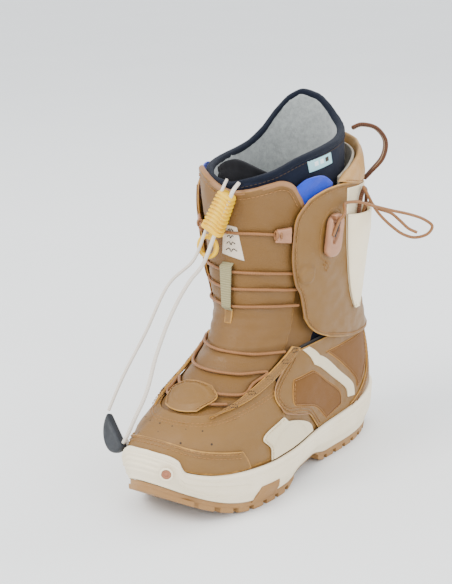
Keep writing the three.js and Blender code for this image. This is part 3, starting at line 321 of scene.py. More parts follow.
def shell(name, outer, inner, x, y, side=None):
    """Closed mesh from an outer and an inner grid of equal size."""
    rows, columns = outer.shape[:2]
    verts = np.concatenate([outer.reshape(-1, 3), inner.reshape(-1, 3)])
    count = rows * columns
    quads_out, corners = grid_faces(rows, columns)
    quads_in, corners_in = grid_faces(rows, columns, start=count, flip=True)
    j, i = np.arange(rows), np.arange(columns)
    border = [*[(0, k) for k in i[:-1]], *[(k, columns - 1) for k in j[:-1]],
              *[(rows - 1, k) for k in i[:0:-1]], *[(k, 0) for k in j[:0:-1]]]
    ids = [a * columns + b for a, b in border]
    strip, strip_corners = [], []
    for k, a in enumerate(ids):
        b = ids[(k + 1) % len(ids)]
        pa, pb = border[k], border[(k + 1) % len(border)]
        strip.append((b, a, a + count, b + count))
        strip_corners.append([(pb[1], pb[0]), (pa[1], pa[0]), (pa[1], pa[0]), (pb[1], pb[0])])
    faces = [*map(tuple, quads_out.tolist()), *map(tuple, quads_in.tolist()), *strip]
    where = np.concatenate([corners.reshape(-1, 2), corners_in.reshape(-1, 2),
                            np.array(strip_corners).reshape(-1, 2)])
    cloth = np.stack([np.asarray(x)[where[:, 0]], np.asarray(y)[where[:, 1]]], 1)
    edge = None if side is None else np.concatenate([side.ravel(), np.zeros(count)])
    obj = new_object(name, verts, faces, cloth=cloth, edge=edge)
    obj.data.update()
    if mesh_volume(obj) < 0:
        obj.data.flip_normals()
    return obj


def mesh_volume(obj):
    mesh = obj.data
    mesh.calc_loop_triangles()
    co = np.empty(len(mesh.vertices) * 3)
    mesh.vertices.foreach_get("co", co)
    tri = np.empty(len(mesh.loop_triangles) * 3, dtype=int)
    mesh.loop_triangles.foreach_get("vertices", tri)
    a, b, c = (co.reshape(-1, 3)[tri.reshape(-1, 3)[:, k]] for k in range(3))
    return float(np.einsum("ij,ij->i", a, np.cross(b, c)).sum() / 6)


def ring_mesh(name, rings, close=True, caps=False, cloth_x=None, cloth_y=None, smooth=True):
    """Mesh through a stack of closed rings; close joins the last to the first, caps closes the ends."""
    rings = np.asarray(rings, float)
    rows, columns = rings.shape[:2]
    quads, corners = grid_faces(rows + 1 if close else rows, columns, wrap=True)
    quads = quads % (rows * columns) if close else quads
    faces = [tuple(q) for q in quads.tolist()]
    x = np.arange(columns + 1) if cloth_x is None else np.asarray(cloth_x)
    y = np.arange(rows + 1) if cloth_y is None else np.asarray(cloth_y)
    cloth = [np.stack([x[corners[..., 0].ravel()], y[corners[..., 1].ravel()]], 1)]
    if caps:
        faces.append(tuple(reversed(range(columns))))
        faces.append(tuple(range((rows - 1) * columns, rows * columns)))
        cloth.append(np.zeros((2 * columns, 2)))
    obj = new_object(name, rings.reshape(-1, 3), faces, smooth=smooth, cloth=np.concatenate(cloth))
    if mesh_volume(obj) < 0:
        obj.data.flip_normals()
    return obj


def tube_rings(points, radius, sides, flat=1.0, twist=0.0, up=None):
    """Rings of a tube along points, turning as little as the line lets them; flat narrows one way."""
    p = np.asarray(points, float)
    tangent = unit(np.gradient(p, axis=0))
    normal = np.asarray(up if up is not None else (0.3, 0.2, 1.0), float)
    angle = 2 * math.pi * np.arange(sides) / sides
    rings = []
    for k in range(len(p)):
        normal = unit(normal - tangent[k] * np.dot(normal, tangent[k]))
        across = np.cross(tangent[k], normal)
        turn = angle + twist * k / max(1, len(p) - 1)
        size = radius[k] if hasattr(radius, "__len__") else radius
        wide = normal * math.cos(turn[0]) + across * math.sin(turn[0])
        thin = across * math.cos(turn[0]) - normal * math.sin(turn[0])
        rings.append(p[k] + size * (np.cos(angle)[:, None] * wide + flat * np.sin(angle)[:, None] * thin))
    return np.array(rings)


def tube(name, points, radius, sides=12, step=1.2, flat=1.0, twist=0.0, up=None):
    """Round or flat tube along a smooth line, with closed rounded ends."""
    line = arc_line(points, step)
    rings = tube_rings(line, radius, sides, flat, twist, up)
    ends = []
    for k, order in ((0, (0.35, 0.75, 0.95)), (-1, (0.95, 0.75, 0.35))):
        tangent = unit(line[1] - line[0]) if k == 0 else unit(line[-1] - line[-2])
        sign = -1 if k == 0 else 1
        size = radius * min(1.0, flat * 1.4)
        ends.append([line[k] + (rings[k] - line[k]) * s + sign * tangent * size * math.sqrt(1 - s * s) * 0.6
                     for s in order])
    rings = np.concatenate([ends[0], rings, ends[1]])
    run = np.concatenate([[0], np.cumsum(np.linalg.norm(np.diff(rings.mean(1), axis=0), axis=1))])
    girth = 2 * math.pi * radius * np.arange(sides + 1) / sides
    return ring_mesh(name, rings, close=False, caps=True, cloth_x=girth, cloth_y=run), line


def stitch_rows(name, lines, body, colour="thread", length=2.7, gap=0.7, radius=0.36, lift=0.12):
    """Sewn stitches along (theta, t, lift) lines, as small pads that dip in at both ends."""
    verts, faces = [], []
    sides = 6
    angle = 2 * math.pi * np.arange(sides) / sides
    for points in lines:
        at = along(points, np.linspace(0, 1, 60 * len(points)))
        p = skin(at[:, 0], at[:, 1], at[:, 2] + lift)
        n = skin_normal(at[:, 0], at[:, 1])
        run = np.concatenate([[0], np.cumsum(np.linalg.norm(np.diff(p, axis=0), axis=1))])
        for start in np.arange(0.4, run[-1] - length, length + gap):
            s = start + length * np.array([0, 0.18, 0.5, 0.82, 1])
            c = np.stack([np.interp(s, run, p[:, k]) for k in range(3)], 1)
            out = np.stack([np.interp(s, run, n[:, k]) for k in range(3)], 1)
            c = c + out * (radius * np.array([-0.9, 0.1, 0.35, 0.1, -0.9]))[:, None]
            tangent = unit(c[-1] - c[0])
            across = np.cross(tangent, out[2])
            base = len(verts)
            for k, size in enumerate((0.5, 0.95, 1.0, 0.95, 0.5)):
                for a in angle:
                    verts.append(c[k] + radius * size * (math.cos(a) * across + math.sin(a) * out[2]))
            for k in range(4):
                for i in range(sides):
                    j = (i + 1) % sides
                    faces.append((base + k * sides + i, base + k * sides + j,
                                  base + (k + 1) * sides + j, base + (k + 1) * sides + i))
            faces.append(tuple(base + i for i in reversed(range(sides))))
            faces.append(tuple(base + 4 * sides + i for i in range(sides)))
    obj = new_object(name, verts, faces)
    if mesh_volume(obj) < 0:
        obj.data.flip_normals()
    return dress(obj, colour, body)


def inset(line, distance, toward):
    """A (theta, t) line moved sideways by a distance in millimetres on the surface, towards a point."""
    at = along(line, np.linspace(0, 1, 24))
    p = skin(at[:, 0], at[:, 1], 0)
    d_theta = bare_skin(at[:, 0] + 0.5, at[:, 1]) - bare_skin(at[:, 0] - 0.5, at[:, 1])
    d_t = (bare_skin(at[:, 0], at[:, 1] + 0.005) - bare_skin(at[:, 0], at[:, 1] - 0.005)) / 0.01
    tangent = unit(np.gradient(p, axis=0))
    side = unit(np.cross(skin_normal(at[:, 0], at[:, 1]), tangent))
    goal = skin(np.array([toward[0]]), np.array([toward[1]]), 0)[0]
    side = side * np.sign(((goal - p) * side).sum(1).mean())
    move = side * distance
    e = np.stack([d_theta, d_t], -1)
    gram = np.einsum("nki,nkj->nij", e, e)
    step = np.linalg.solve(gram, np.einsum("nki,nk->ni", e, move)[..., None])[..., 0]
    return at + step


def dented(points, lines, depth, width):
    """How far points sink beneath lines that press on them."""
    return -depth * np.exp(-(nearest(points, lines) / width) ** 2)


def surface_frame(theta, t, lift, turn=0.0):
    """4x4 frame on the boot surface: x sideways along it, y up it, z out of it."""
    normal = skin_normal(theta, t)
    up = unit(bare_skin(theta, t + 0.01) - bare_skin(theta, t - 0.01))
    side = unit(np.cross(up, normal))
    up = np.cross(normal, side)
    c, s = math.cos(math.radians(turn)), math.sin(math.radians(turn))
    matrix = np.eye(4)
    matrix[:3, 0], matrix[:3, 1], matrix[:3, 2] = side * c + up * s, up * c - side * s, normal
    matrix[:3, 3] = skin(theta, t, lift)
    return matrix


def put(matrix, points):
    points = np.asarray(points, float)
    return points @ matrix[:3, :3].T + matrix[:3, 3]


# ------------------------------------------------------------------ materials

class Shade:
    """One procedural material; lengths inside it are millimetres of the object's own space."""

    def __init__(self, name, rough=0.5, **settings):
        self.material = bpy.data.materials.new(name)
        self.material.use_nodes = True
        self.tree = self.material.node_tree
        self.tree.nodes.clear()
        self.shader = self.add("ShaderNodeBsdfPrincipled")
        self.tree.links.new(self.shader.outputs[0], self.add("ShaderNodeOutputMaterial").inputs[0])
        self.shader.inputs["Roughness"].default_value = rough
        for key, value in settings.items():
            self.shader.inputs[key.replace("_", " ")].default_value = value
        self.place = self.add("ShaderNodeTexCoord").outputs["Object"]
        self.normal = None
        MATERIALS[name] = self.material

    def add(self, kind, **settings):
        node = self.tree.nodes.new(kind)
        for key, value in settings.items():
            setattr(node, key, value)
        return node

    def plug(self, socket, value):
        if hasattr(value, "node"):
            self.tree.links.new(value, socket)
        else:
            socket.default_value = value

    def math(self, kind, a, b=0.0, clamp=False):
        node = self.add("ShaderNodeMath", operation=kind, use_clamp=clamp)
        self.plug(node.inputs[0], a)
        self.plug(node.inputs[1], b)
        return node.outputs[0]

    def noise(self, size, detail=3.0, rough=0.55, stretch=None):
        node = self.add("ShaderNodeTexNoise")
        node.inputs["Scale"].default_value = 1000 / size
        node.inputs["Detail"].default_value = detail
        node.inputs["Roughness"].default_value = rough
        self.plug(node.inputs["Vector"], self.stretched(stretch))
        return node.outputs["Fac"]

    def stretched(self, stretch):
        if stretch is None:
            return self.place
        node = self.add("ShaderNodeMapping")
        node.inputs["Scale"].default_value = stretch
        self.plug(node.inputs["Vector"], self.place)
        return node.outputs[0]

    def cells(self, size, feature="F1"):
        node = self.add("ShaderNodeTexVoronoi", feature=feature)
        node.inputs["Scale"].default_value = 1000 / size
        self.plug(node.inputs["Vector"], self.place)
        return node.outputs["Distance"]

    def span(self, value, low, high, to_low=0.0, to_high=1.0):
        node = self.add("ShaderNodeMapRange", interpolation_type="SMOOTHSTEP")
        self.plug(node.inputs["Value"], value)
        for key, number in (("From Min", low), ("From Max", high), ("To Min", to_low), ("To Max", to_high)):
            node.inputs[key].default_value = number
        return node.outputs["Result"]

    def mix(self, part, a, b):
        node = self.add("ShaderNodeMix", data_type="RGBA")
        self.plug(node.inputs[0], part)
        self.plug(node.inputs[6], (*a, 1) if isinstance(a, tuple) else a)
        self.plug(node.inputs[7], (*b, 1) if isinstance(b, tuple) else b)
        return node.outputs[2]

    def attribute(self, name, output):
        return self.add("ShaderNodeAttribute", attribute_name=name).outputs[output]

    def cloth(self):
        node = self.add("ShaderNodeSeparateXYZ")
        self.plug(node.inputs[0], self.attribute("cloth", "Vector"))
        return node.outputs[0], node.outputs[1]

    def wave(self, value, pitch):
        return self.math("SINE", self.math("MULTIPLY", value, 2 * math.pi / pitch))

    def bump(self, height, depth, strength=1.0):
        node = self.add("ShaderNodeBump")
        node.inputs["Strength"].default_value = strength
        node.inputs["Distance"].default_value = depth * MM
        self.plug(node.inputs["Height"], height)
        if self.normal is not None:
            self.plug(node.inputs["Normal"], self.normal)
        self.normal = node.outputs[0]
        self.plug(self.shader.inputs["Normal"], self.normal)

    def colour(self, value):
        self.plug(self.shader.inputs["Base Color"], value)

    def rough(self, value):
        self.plug(self.shader.inputs["Roughness"], value)


def leather(name, base, shade, light, grain=1.0, depth=0.12, rough=(0.42, 0.6), burn=0.42):
    """Finished leather: fine cell grain, pores, broad colour drift, burnished rims and soft creases."""
    m = Shade(name, Specular_IOR_Level=0.42)
    drift = m.span(m.noise(70, 2), 0.35, 0.68)
    mottle = m.span(m.noise(9, 4), 0.45, 0.75)
    speck = m.span(m.noise(1.2, 2), 0.35, 0.75)
    colour = m.mix(drift, base, shade)
    colour = m.mix(m.math("MULTIPLY", mottle, 0.3), colour, light)
    colour = m.mix(m.math("MULTIPLY", speck, 0.12), colour, shade)
    rim = m.math("MULTIPLY", m.attribute("edge", "Fac"), m.span(m.noise(5, 3), 0.25, 0.6, 0.35, 0.75))
    burnt = tuple(c * burn for c in shade)
    m.colour(m.mix(rim, colour, burnt))
    m.rough(m.span(m.noise(14, 3), 0.3, 0.7, *rough))
    cells = m.span(m.cells(grain, "DISTANCE_TO_EDGE"), 0.0, 0.22)
    m.bump(cells, depth, 0.55)
    m.bump(m.noise(grain * 3.2, 3), depth * 1.6, 0.5)
    m.bump(m.noise(24, 2, stretch=(1, 1, 2.2)), 0.9, 0.35)
    return m


def suede(name, base, shade, light):
    m = Shade(name, rough=0.95, Sheen_Weight=0.08, Sheen_Roughness=0.5, Specular_IOR_Level=0.15)
    nap = m.span(m.noise(16, 3), 0.35, 0.65)
    fine = m.span(m.noise(0.9, 3), 0.3, 0.7)
    colour = m.mix(nap, base, light)
    colour = m.mix(m.math("MULTIPLY", fine, 0.4), colour, shade)
    m.colour(m.mix(m.math("MULTIPLY", m.attribute("edge", "Fac"), 0.7), colour,
                   tuple(c * 0.5 for c in shade)))
    m.bump(m.noise(0.7, 4, 0.7), 0.35, 0.6)
    m.bump(m.noise(6, 3), 0.4, 0.4)


def rubber(name, base, shade, dust, rough=(0.55, 0.75)):
    """Moulded rubber with a fine matt bloom, dust in its hollows and faint scuffs."""
    m = Shade(name, Specular_IOR_Level=0.35)
    drift = m.span(m.noise(45, 3), 0.35, 0.7)
    scuff = m.span(m.noise(7, 5, 0.7, stretch=(1, 1, 3)), 0.56, 0.74)
    low = m.span(m.noise(30, 3), 0.4, 0.7)
    colour = m.mix(m.math("MULTIPLY", drift, 0.7), base, shade)
    m.colour(m.mix(m.math("MULTIPLY", m.math("MULTIPLY", scuff, low), 0.7), colour, dust))
    m.rough(m.span(m.noise(11, 3), 0.3, 0.7, *rough))
    m.bump(m.noise(0.45, 2), 0.05, 0.5)
    m.bump(m.noise(9, 3), 0.25, 0.3)


def plastic(name, base, shade, rough=(0.3, 0.45), depth=0.04):
    m = Shade(name, Specular_IOR_Level=0.5)
    m.colour(m.mix(m.span(m.noise(14, 3), 0.35, 0.7), base, shade))
    m.rough(m.span(m.noise(6, 4), 0.3, 0.7, *rough))
    m.bump(m.noise(0.5, 2), depth, 0.5)
    m.bump(m.noise(8, 2), 0.15, 0.3)


def woven(name, base, shade, pitch=0.9, depth=0.16, rough=0.85, sheen=0.15):
    """Plain weave along the piece's own cloth directions."""
    m = Shade(name, rough=rough, Sheen_Weight=sheen, Sheen_Roughness=0.4, Specular_IOR_Level=0.2)
    x, y = m.cloth()
    threads = m.math("MULTIPLY", m.wave(x, pitch), m.wave(y, pitch))
    height = m.span(threads, -0.8, 0.8)
    colour = m.mix(height, shade, base)
    m.colour(m.mix(m.math("MULTIPLY", m.span(m.noise(8, 4), 0.4, 0.7), 0.35), colour, shade))
    m.bump(height, depth, 0.8)
    m.bump(m.noise(5, 3), 0.3, 0.3)


def webbing(name, base, shade, pitch=1.5, rough=0.8):
    """Narrow woven tape with ribs across it and a slanting weave in each rib."""
    m = Shade(name, rough=rough, Sheen_Weight=0.12, Specular_IOR_Level=0.25)
    x, y = m.cloth()
    ribs = m.span(m.wave(y, pitch), -0.9, 0.9)
    twill = m.span(m.wave(m.math("ADD", x, y), pitch * 0.55), -0.9, 0.9)
    height = m.math("ADD", m.math("MULTIPLY", ribs, 0.65), m.math("MULTIPLY", twill, 0.35))
    m.colour(m.mix(height, shade, base))
    m.bump(height, 0.28, 0.9)


def braid(name, base, shade, across=1.25, along_it=2.4, rough=0.5, depth=0.16):
    """Round braid: two families of strands crossing on a slant."""
    m = Shade(name, rough=rough, Specular_IOR_Level=0.4)
    x, y = m.cloth()
    a = m.math("DIVIDE", x, across)
    b = m.math("DIVIDE", y, along_it)
    plus = m.wave(m.math("ADD", a, b), 1.0)
    minus = m.wave(m.math("SUBTRACT", a, b), 1.0)
    height = m.span(m.math("MULTIPLY", plus, minus), -0.7, 0.7)
    colour = m.mix(height, shade, base)
    m.colour(m.mix(m.math("MULTIPLY", m.span(m.noise(12, 3), 0.4, 0.7), 0.3), colour, shade))
    m.bump(height, depth, 0.9)


def pile(name, base, shade, size=1.4, depth=0.9):
    """Short fleece pile in clumps."""
    m = Shade(name, rough=1.0, Sheen_Weight=0.5, Sheen_Roughness=0.6, Specular_IOR_Level=0.1)
    clump = m.span(m.noise(size * 3, 4, 0.65), 0.3, 0.7)
    fibre = m.span(m.noise(size * 0.4, 3, 0.7), 0.3, 0.7)
    m.colour(m.mix(m.math("MULTIPLY", m.math("ADD", clump, fibre), 0.5), shade, base))
    m.bump(m.noise(size * 3, 4, 0.65), depth, 0.7)
    m.bump(m.noise(size * 0.4, 3, 0.7), depth * 0.4, 0.8)


def make_materials():
    leather("leather", (0.53, 0.275, 0.06), (0.44, 0.215, 0.042), (0.6, 0.345, 0.1))
    leather("tongue_leather", (0.45, 0.22, 0.038), (0.36, 0.165, 0.026), (0.53, 0.29, 0.07), grain=1.4,
            depth=0.2)
    leather("collar_leather", (0.52, 0.3, 0.1), (0.42, 0.22, 0.06), (0.6, 0.38, 0.16), grain=1.5, depth=0.22)
    leather("binding_leather", (0.3, 0.15, 0.06), (0.22, 0.1, 0.035), (0.36, 0.2, 0.09), grain=0.8, depth=0.1)
    leather("cream_leather", (0.92, 0.8, 0.56), (0.86, 0.73, 0.49), (0.95, 0.86, 0.66), grain=1.2,
            depth=0.08, burn=0.8)
    suede("suede", (0.45, 0.21, 0.05), (0.3, 0.125, 0.026), (0.58, 0.31, 0.09))
    rubber("brown_rubber", (0.33, 0.18, 0.065), (0.25, 0.125, 0.042), (0.42, 0.29, 0.17))
    rubber("cream_rubber", (0.84, 0.74, 0.55), (0.76, 0.65, 0.46), (0.6, 0.48, 0.33))
    rubber("badge", (0.36, 0.15, 0.08), (0.28, 0.1, 0.05), (0.45, 0.26, 0.16))
    plastic("lock_plastic", (0.37, 0.175, 0.09), (0.31, 0.14, 0.07))
    plastic("dark_plastic", (0.006, 0.008, 0.012), (0.012, 0.015, 0.02), rough=(0.5, 0.65))
    plastic("yellow_plastic", (0.8, 0.47, 0.0), (0.7, 0.38, 0.0), rough=(0.3, 0.42))
    woven("liner_fabric", (0.006, 0.01, 0.026), (0.003, 0.005, 0.013), pitch=0.8, sheen=0.05)
    woven("liner_binding", (0.005, 0.008, 0.02), (0.002, 0.004, 0.01), pitch=0.7, sheen=0.05)
    woven("liner_padding", (0.006, 0.006, 0.008), (0.003, 0.003, 0.004), pitch=1.0, sheen=0.03)
    woven("blue_fabric", (0.015, 0.06, 0.62), (0.008, 0.035, 0.42), pitch=0.7, rough=0.6, sheen=0.3)
    woven("cream_fabric", (0.7, 0.62, 0.48), (0.56, 0.48, 0.35), pitch=1.1)
    woven("shell_lining", (0.05, 0.045, 0.04), (0.025, 0.022, 0.02), pitch=1.4)
    woven("pale_label", (0.38, 0.66, 0.7), (0.3, 0.56, 0.6), pitch=0.5, depth=0.05)
    woven("white_label", (0.85, 0.9, 0.9), (0.72, 0.78, 0.78), pitch=0.5, depth=0.05)
    woven("label", (0.7, 0.62, 0.5), (0.6, 0.5, 0.38), pitch=0.5, depth=0.05)
    woven("board", (0.3, 0.25, 0.16), (0.22, 0.18, 0.11), pitch=2.0)
    webbing("webbing", (0.34, 0.3, 0.16), (0.22, 0.19, 0.09))
    webbing("brown_webbing", (0.15, 0.055, 0.02), (0.07, 0.022, 0.008))
    webbing("tan_webbing", (0.42, 0.29, 0.16), (0.3, 0.19, 0.1))
    braid("lace", (0.33, 0.15, 0.052), (0.21, 0.085, 0.027))
    braid("cream_cord", (0.78, 0.72, 0.63), (0.58, 0.5, 0.42))
    braid("thread", (0.34, 0.17, 0.05), (0.22, 0.1, 0.03), across=0.5, along_it=0.8, rough=0.7, depth=0.05)
    braid("dark_thread", (0.05, 0.028, 0.015), (0.02, 0.012, 0.008), across=0.5, along_it=0.8, rough=0.7,
          depth=0.05)
    braid("pale_thread", (0.72, 0.6, 0.4), (0.55, 0.44, 0.28), across=0.5, along_it=0.8, rough=0.7,
          depth=0.05)
    pile("fleece", (0.36, 0.385, 0.375), (0.2, 0.215, 0.21))
    steel = Shade("shank_steel", rough=0.35, Metallic=1.0)
    steel.colour(steel.mix(steel.noise(20, 2), (0.5, 0.5, 0.52), (0.4, 0.4, 0.42)))


SLOT_OF = {name: name for name in (
    "leather", "tongue_leather", "collar_leather", "cream_leather", "suede", "brown_rubber", "cream_rubber",
    "badge", "lock_plastic", "dark_plastic", "yellow_plastic", "liner_fabric", "liner_binding",
    "liner_padding", "blue_fabric", "cream_fabric", "shell_lining", "pale_label", "label", "board",
    "webbing", "brown_webbing", "lace", "cream_cord", "fleece", "shank_steel")}
SLOT_OF |= {"binding_leather": "tongue_leather", "white_label": "pale_label", "tan_webbing": "brown_webbing",
            "thread": "leather", "dark_thread": "leather", "pale_thread": "cream_leather"}


# ------------------------------------------------------------------ camera, light and floor

TARGET = (-0.029, -0.0021, 0.138)
CAMERA_PLACE = (0.56225, -0.8787, 0.4412)


def make_camera():
    data = bpy.data.cameras.new("camera")
    data.lens, data.sensor_width = 86.3, 36
    camera = bpy.data.objects.new("camera", data)
    bpy.context.scene.collection.objects.link(camera)
    camera.location = CAMERA_PLACE
    camera.rotation_euler = (Vector(TARGET) - Vector(CAMERA_PLACE)).to_track_quat("-Z", "Y").to_euler()
    bpy.context.scene.camera = camera


def area_light(name, place, size, power, colour=(1, 1, 1)):
    data = bpy.data.lights.new(name, "AREA")
    data.shape, data.size, data.energy, data.color = "DISK", size, power, colour
    light = bpy.data.objects.new(name, data)
    bpy.context.scene.collection.objects.link(light)
    light.location = place
    light.rotation_euler = (Vector(TARGET) - Vector(place)).to_track_quat("-Z", "Y").to_euler()


def make_stage():
    mesh = bpy.data.meshes.new("floor")
    half = 6.0
    mesh.from_pydata([(-half, -half, 0), (half, -half, 0), (half, half, 0), (-half, half, 0)], [],
                     [(0, 1, 2, 3)])
    floor = bpy.data.objects.new("floor", mesh)
    bpy.context.scene.collection.objects.link(floor)
    shade = Shade("floor", rough=0.9)
    shade.colour(shade.mix(shade.noise(300, 2), (0.82, 0.83, 0.82), (0.86, 0.87, 0.86)))
    mesh.materials.append(MATERIALS["floor"])
    world = bpy.data.worlds.new("studio")
    bpy.context.scene.world = world
    world.use_nodes = True
    world.node_tree.nodes["Background"].inputs[0].default_value = (0.93, 0.96, 1.0, 1)
    world.node_tree.nodes["Background"].inputs[1].default_value = 1.85
    area_light("key", (-0.5, -1.3, 1.5), 1.0, 34, (1.0, 0.98, 0.95))
    area_light("fill", (1.5, -0.7, 0.8), 1.2, 14)
    area_light("back", (0.3, 1.4, 1.3), 1.0, 14)


# ------------------------------------------------------------------ lifts of the upper's layers

TONGUE = (-4.8, -2.4)
VAMP = (-1.6, -0.8)
QUARTER = (-0.3, 0.6)
OVERLAY = (1.2, 2.0)
FLAP_LEATHER = 1.8
LACE_R = 1.2
LACE_LIFT = -0.3
DETAIL_TO_OVERLAY = OVERLAY[1] + 0.05


def flap_in(theta, t):
    return lerp(3.0, 1.2, ease(0.49, 0.58, t))


def flap_out(theta, t):
    return flap_in(theta, t) + FLAP_LEATHER


def liner_lift(theta, t):
    back = 0.5 - 0.5 * np.cos(np.radians(theta))
    return LINER_LIFT - 8 * ease(0.6, 1.0, t) * back


def raised(line, lift):
    """(theta, t, lift) stitch line at one lift, or at a lift worked out from (theta, t)."""
    line = np.asarray(line, float)
    height = lift(line[:, 0], line[:, 1]) if callable(lift) else np.full(len(line), float(lift))
    return np.column_stack([line[:, :2], height])


def seam_rows(sides, keys, distances, centre, lift):
    """Stitch lines inside a patch, at distances in from the named sides."""
    return [raised(inset(sides[key], d, centre), lift) for key in keys for d in distances]


def seam_points(rows):
    return [skin(row[:, 0], row[:, 1], 0) for row in (along(r, np.linspace(0, 1, 90)) for r in rows)]


def sewn_panel(name, node, sides, lifts, material, body, stitched=(), centre=(0, 0.5), distances=(2.2,),
               thread="thread", **form):
    """A panel with its stitch rows pressed into it, in place of a CAD node."""
    top = lifts[1]
    rows = seam_rows(sides, stitched, distances, centre, top) if stitched else []
    piece = panel(name, sides, *lifts, seams=seam_points(rows), **form)
    dress(piece, material, body)
    if node:
        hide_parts(node)
    if rows:
        stitch_rows(name + "_stitches", rows, body, thread)
    return piece


# ------------------------------------------------------------------ lower boot

TOE_CAP_SIDES = {
    "bottom": [(-70, 0.05), (-50, 0.052), (-31, 0.07), (-20, 0.112), (0, 0.128), (20, 0.112), (31, 0.07),
               (50, 0.052), (70, 0.05)],
    "top": [(-64, 0.11), (-40, 0.132), (-15, 0.16), (0, 0.166), (15, 0.16), (40, 0.132), (64, 0.11)],
    "left": [(-70, 0.05), (-68, 0.08), (-64, 0.11)],
    "right": [(70, 0.05), (68, 0.08), (64, 0.11)],
}
VAMP_SIDES = {
    "bottom": [(-92, 0.05), (-60, 0.055), (-31, 0.09), (-18, 0.122), (0, 0.132), (18, 0.122), (31, 0.09),
               (60, 0.055), (92, 0.05)],
    "top": [(-60, 0.355), (-45, 0.3), (-28, 0.262), (0, 0.255), (28, 0.262), (45, 0.3), (60, 0.355)],
    "left": [(-92, 0.05), (-86, 0.19), (-60, 0.355)],
    "right": [(92, 0.05), (86, 0.19), (60, 0.355)],
}
VAMP_PATCH_SIDES = {
    "bottom": [(-15, 0.268), (0, 0.262), (15, 0.268)],
    "top": [(-13, 0.352), (0, 0.36), (13, 0.352)],
    "left": [(-15, 0.268), (-24, 0.31), (-13, 0.352)],
    "right": [(15, 0.268), (24, 0.31), (13, 0.352)],
}
QUARTER_SIDES = {
    "bottom": [(104, 0.06), (125, 0.075), (150, 0.1), (179.6, 0.112)],
    "top": [(63, 0.44), (85, 0.455), (120, 0.462), (179.6, 0.468)],
    "left": [(104, 0.06), (97, 0.14), (88, 0.19), (80, 0.225), (64, 0.32), (63, 0.44)],
    "right": [(179.6, 0.112), (179.6, 0.3), (179.6, 0.468)],
}
EYESTAY_SIDES = {
    "bottom": [(28, 0.246), (36, 0.262)],
    "top": [(60, 0.465), (67, 0.452)],
    "left": [(28, 0.246), (38, 0.288), (43, 0.32), (51, 0.382), (57, 0.437), (60, 0.465)],
    "right": [(36, 0.262), (47, 0.285), (55, 0.32), (61, 0.37), (65, 0.42), (67, 0.452)],
}
COUNTER_SIDES = {
    "bottom": [(122, 0.082), (150, 0.106), (180, 0.116), (210, 0.106), (238, 0.082)],
    "top": [(151, 0.355), (165, 0.365), (180, 0.368), (195, 0.365), (209, 0.355)],
    "left": [(122, 0.082), (134, 0.13), (145, 0.22), (151, 0.355)],
    "right": [(238, 0.082), (226, 0.13), (215, 0.22), (209, 0.355)],
}
FOREFOOT_SIDES = {
    "bottom": [(83, 0.05), (92, 0.055), (101, 0.063)],
    "top": [(84, 0.178), (85, 0.184), (86, 0.182)],
    "left": [(83, 0.05), (82, 0.09), (76, 0.125), (77, 0.15), (84, 0.178)],
    "right": [(101, 0.063), (98, 0.105), (86, 0.182)],
}
STRIPE_SIDES = {
    "bottom": [(120, 0.115), (125, 0.108)],
    "top": [(70, 0.44), (75, 0.445)],
    "left": [(120, 0.115), (117, 0.165), (103, 0.272), (85, 0.38), (70, 0.44)],
    "right": [(125, 0.108), (122, 0.17), (108, 0.278), (90, 0.388), (75, 0.445)],
}
FRONT_SUEDE_SIDES = {
    "bottom": [(108, 0.075), (116, 0.1)],
    "top": [(76, 0.33), (90, 0.335)],
    "left": [(108, 0.075), (100, 0.15), (90, 0.21), (76, 0.33)],
    "right": [(116, 0.1), (113.5, 0.165), (101, 0.262), (90, 0.335)],
}
REAR_SUEDE_SIDES = {
    "bottom": [(128, 0.13), (132, 0.15)],
    "top": [(93, 0.392), (146, 0.375)],
    "left": [(128, 0.13), (124, 0.19), (111, 0.29), (93, 0.392)],
    "right": [(132, 0.15), (141, 0.24), (146, 0.375)],
}
ARCH_MARK = [(83, 0.082), (86, 0.13), (91, 0.145), (94, 0.12), (97, 0.08)]
PERFORATIONS = [(5, 0.215), (17, 0.21), (30, 0.205), (1, 0.19), (20, 0.165), (42, 0.155)]
BAR_TACKS = [(40, 0.279), (47, 0.318), (53.5, 0.363), (59, 0.412), (62.5, 0.447)]


def toe_cap():
    sewn_panel("toe_cap_leather", "toe_cap", TOE_CAP_SIDES, QUARTER, "leather", "foot", stitched=("top",),
               centre=(0, 0.1), distances=(1.9, 4.6), pitch=1.8, rim=0.9, puff=0.25, rough=0.1, seed=2)


def vamp():
    def crown(theta, t, u, v):
        return 0.5 * ease(0.35, 0.0, np.abs(v - 0.55)) * (1 - np.abs(2 * u - 1))

    rows = [raised(inset(VAMP_SIDES["top"], d, (0, 0.15)), VAMP[1]) for d in (7.0, 9.6)]
    sewn_panel("vamp_leather", "vamp", VAMP_SIDES, VAMP, "leather", "foot", pitch=1.9, rim=0.8, rough=0.16,
               seed=3, shape=crown)
    stitch_rows("vamp_stitches", rows, "foot")
    for side, sign in SIDES:
        wing = on_side({"bottom": [(26, 0.03), (60, 0.005), (90, 0.005), (128, 0.03)],
                        "top": [(26, 0.12), (60, 0.33), (84, 0.3), (128, 0.12)],
                        "left": [(26, 0.03), (26, 0.12)], "right": [(128, 0.03), (128, 0.12)]}, sign)
        piece = panel(f"vamp_wing_{side}", wing, VAMP[0] - 0.15, VAMP[0] + 0.35, pitch=2.4, rim=0.3,
                      rough=0.05, seed=6)
        dress(piece, "leather", "foot")
    # Painted shade: near-black discs on the leather stand in for the shade inside the perforation holes; no
    # holes are cut
    verts, faces = [], []
    for theta, t in PERFORATIONS:
        for sign in (1, -1):
            spot = surface_frame(sign * theta, t, VAMP[1] + 0.12)
            add_disc(verts, faces, spot, 0.85, 0.35, 14)
    dress(new_object("vamp_vent_hole_shade_discs", verts, faces), "dark_thread", "foot")


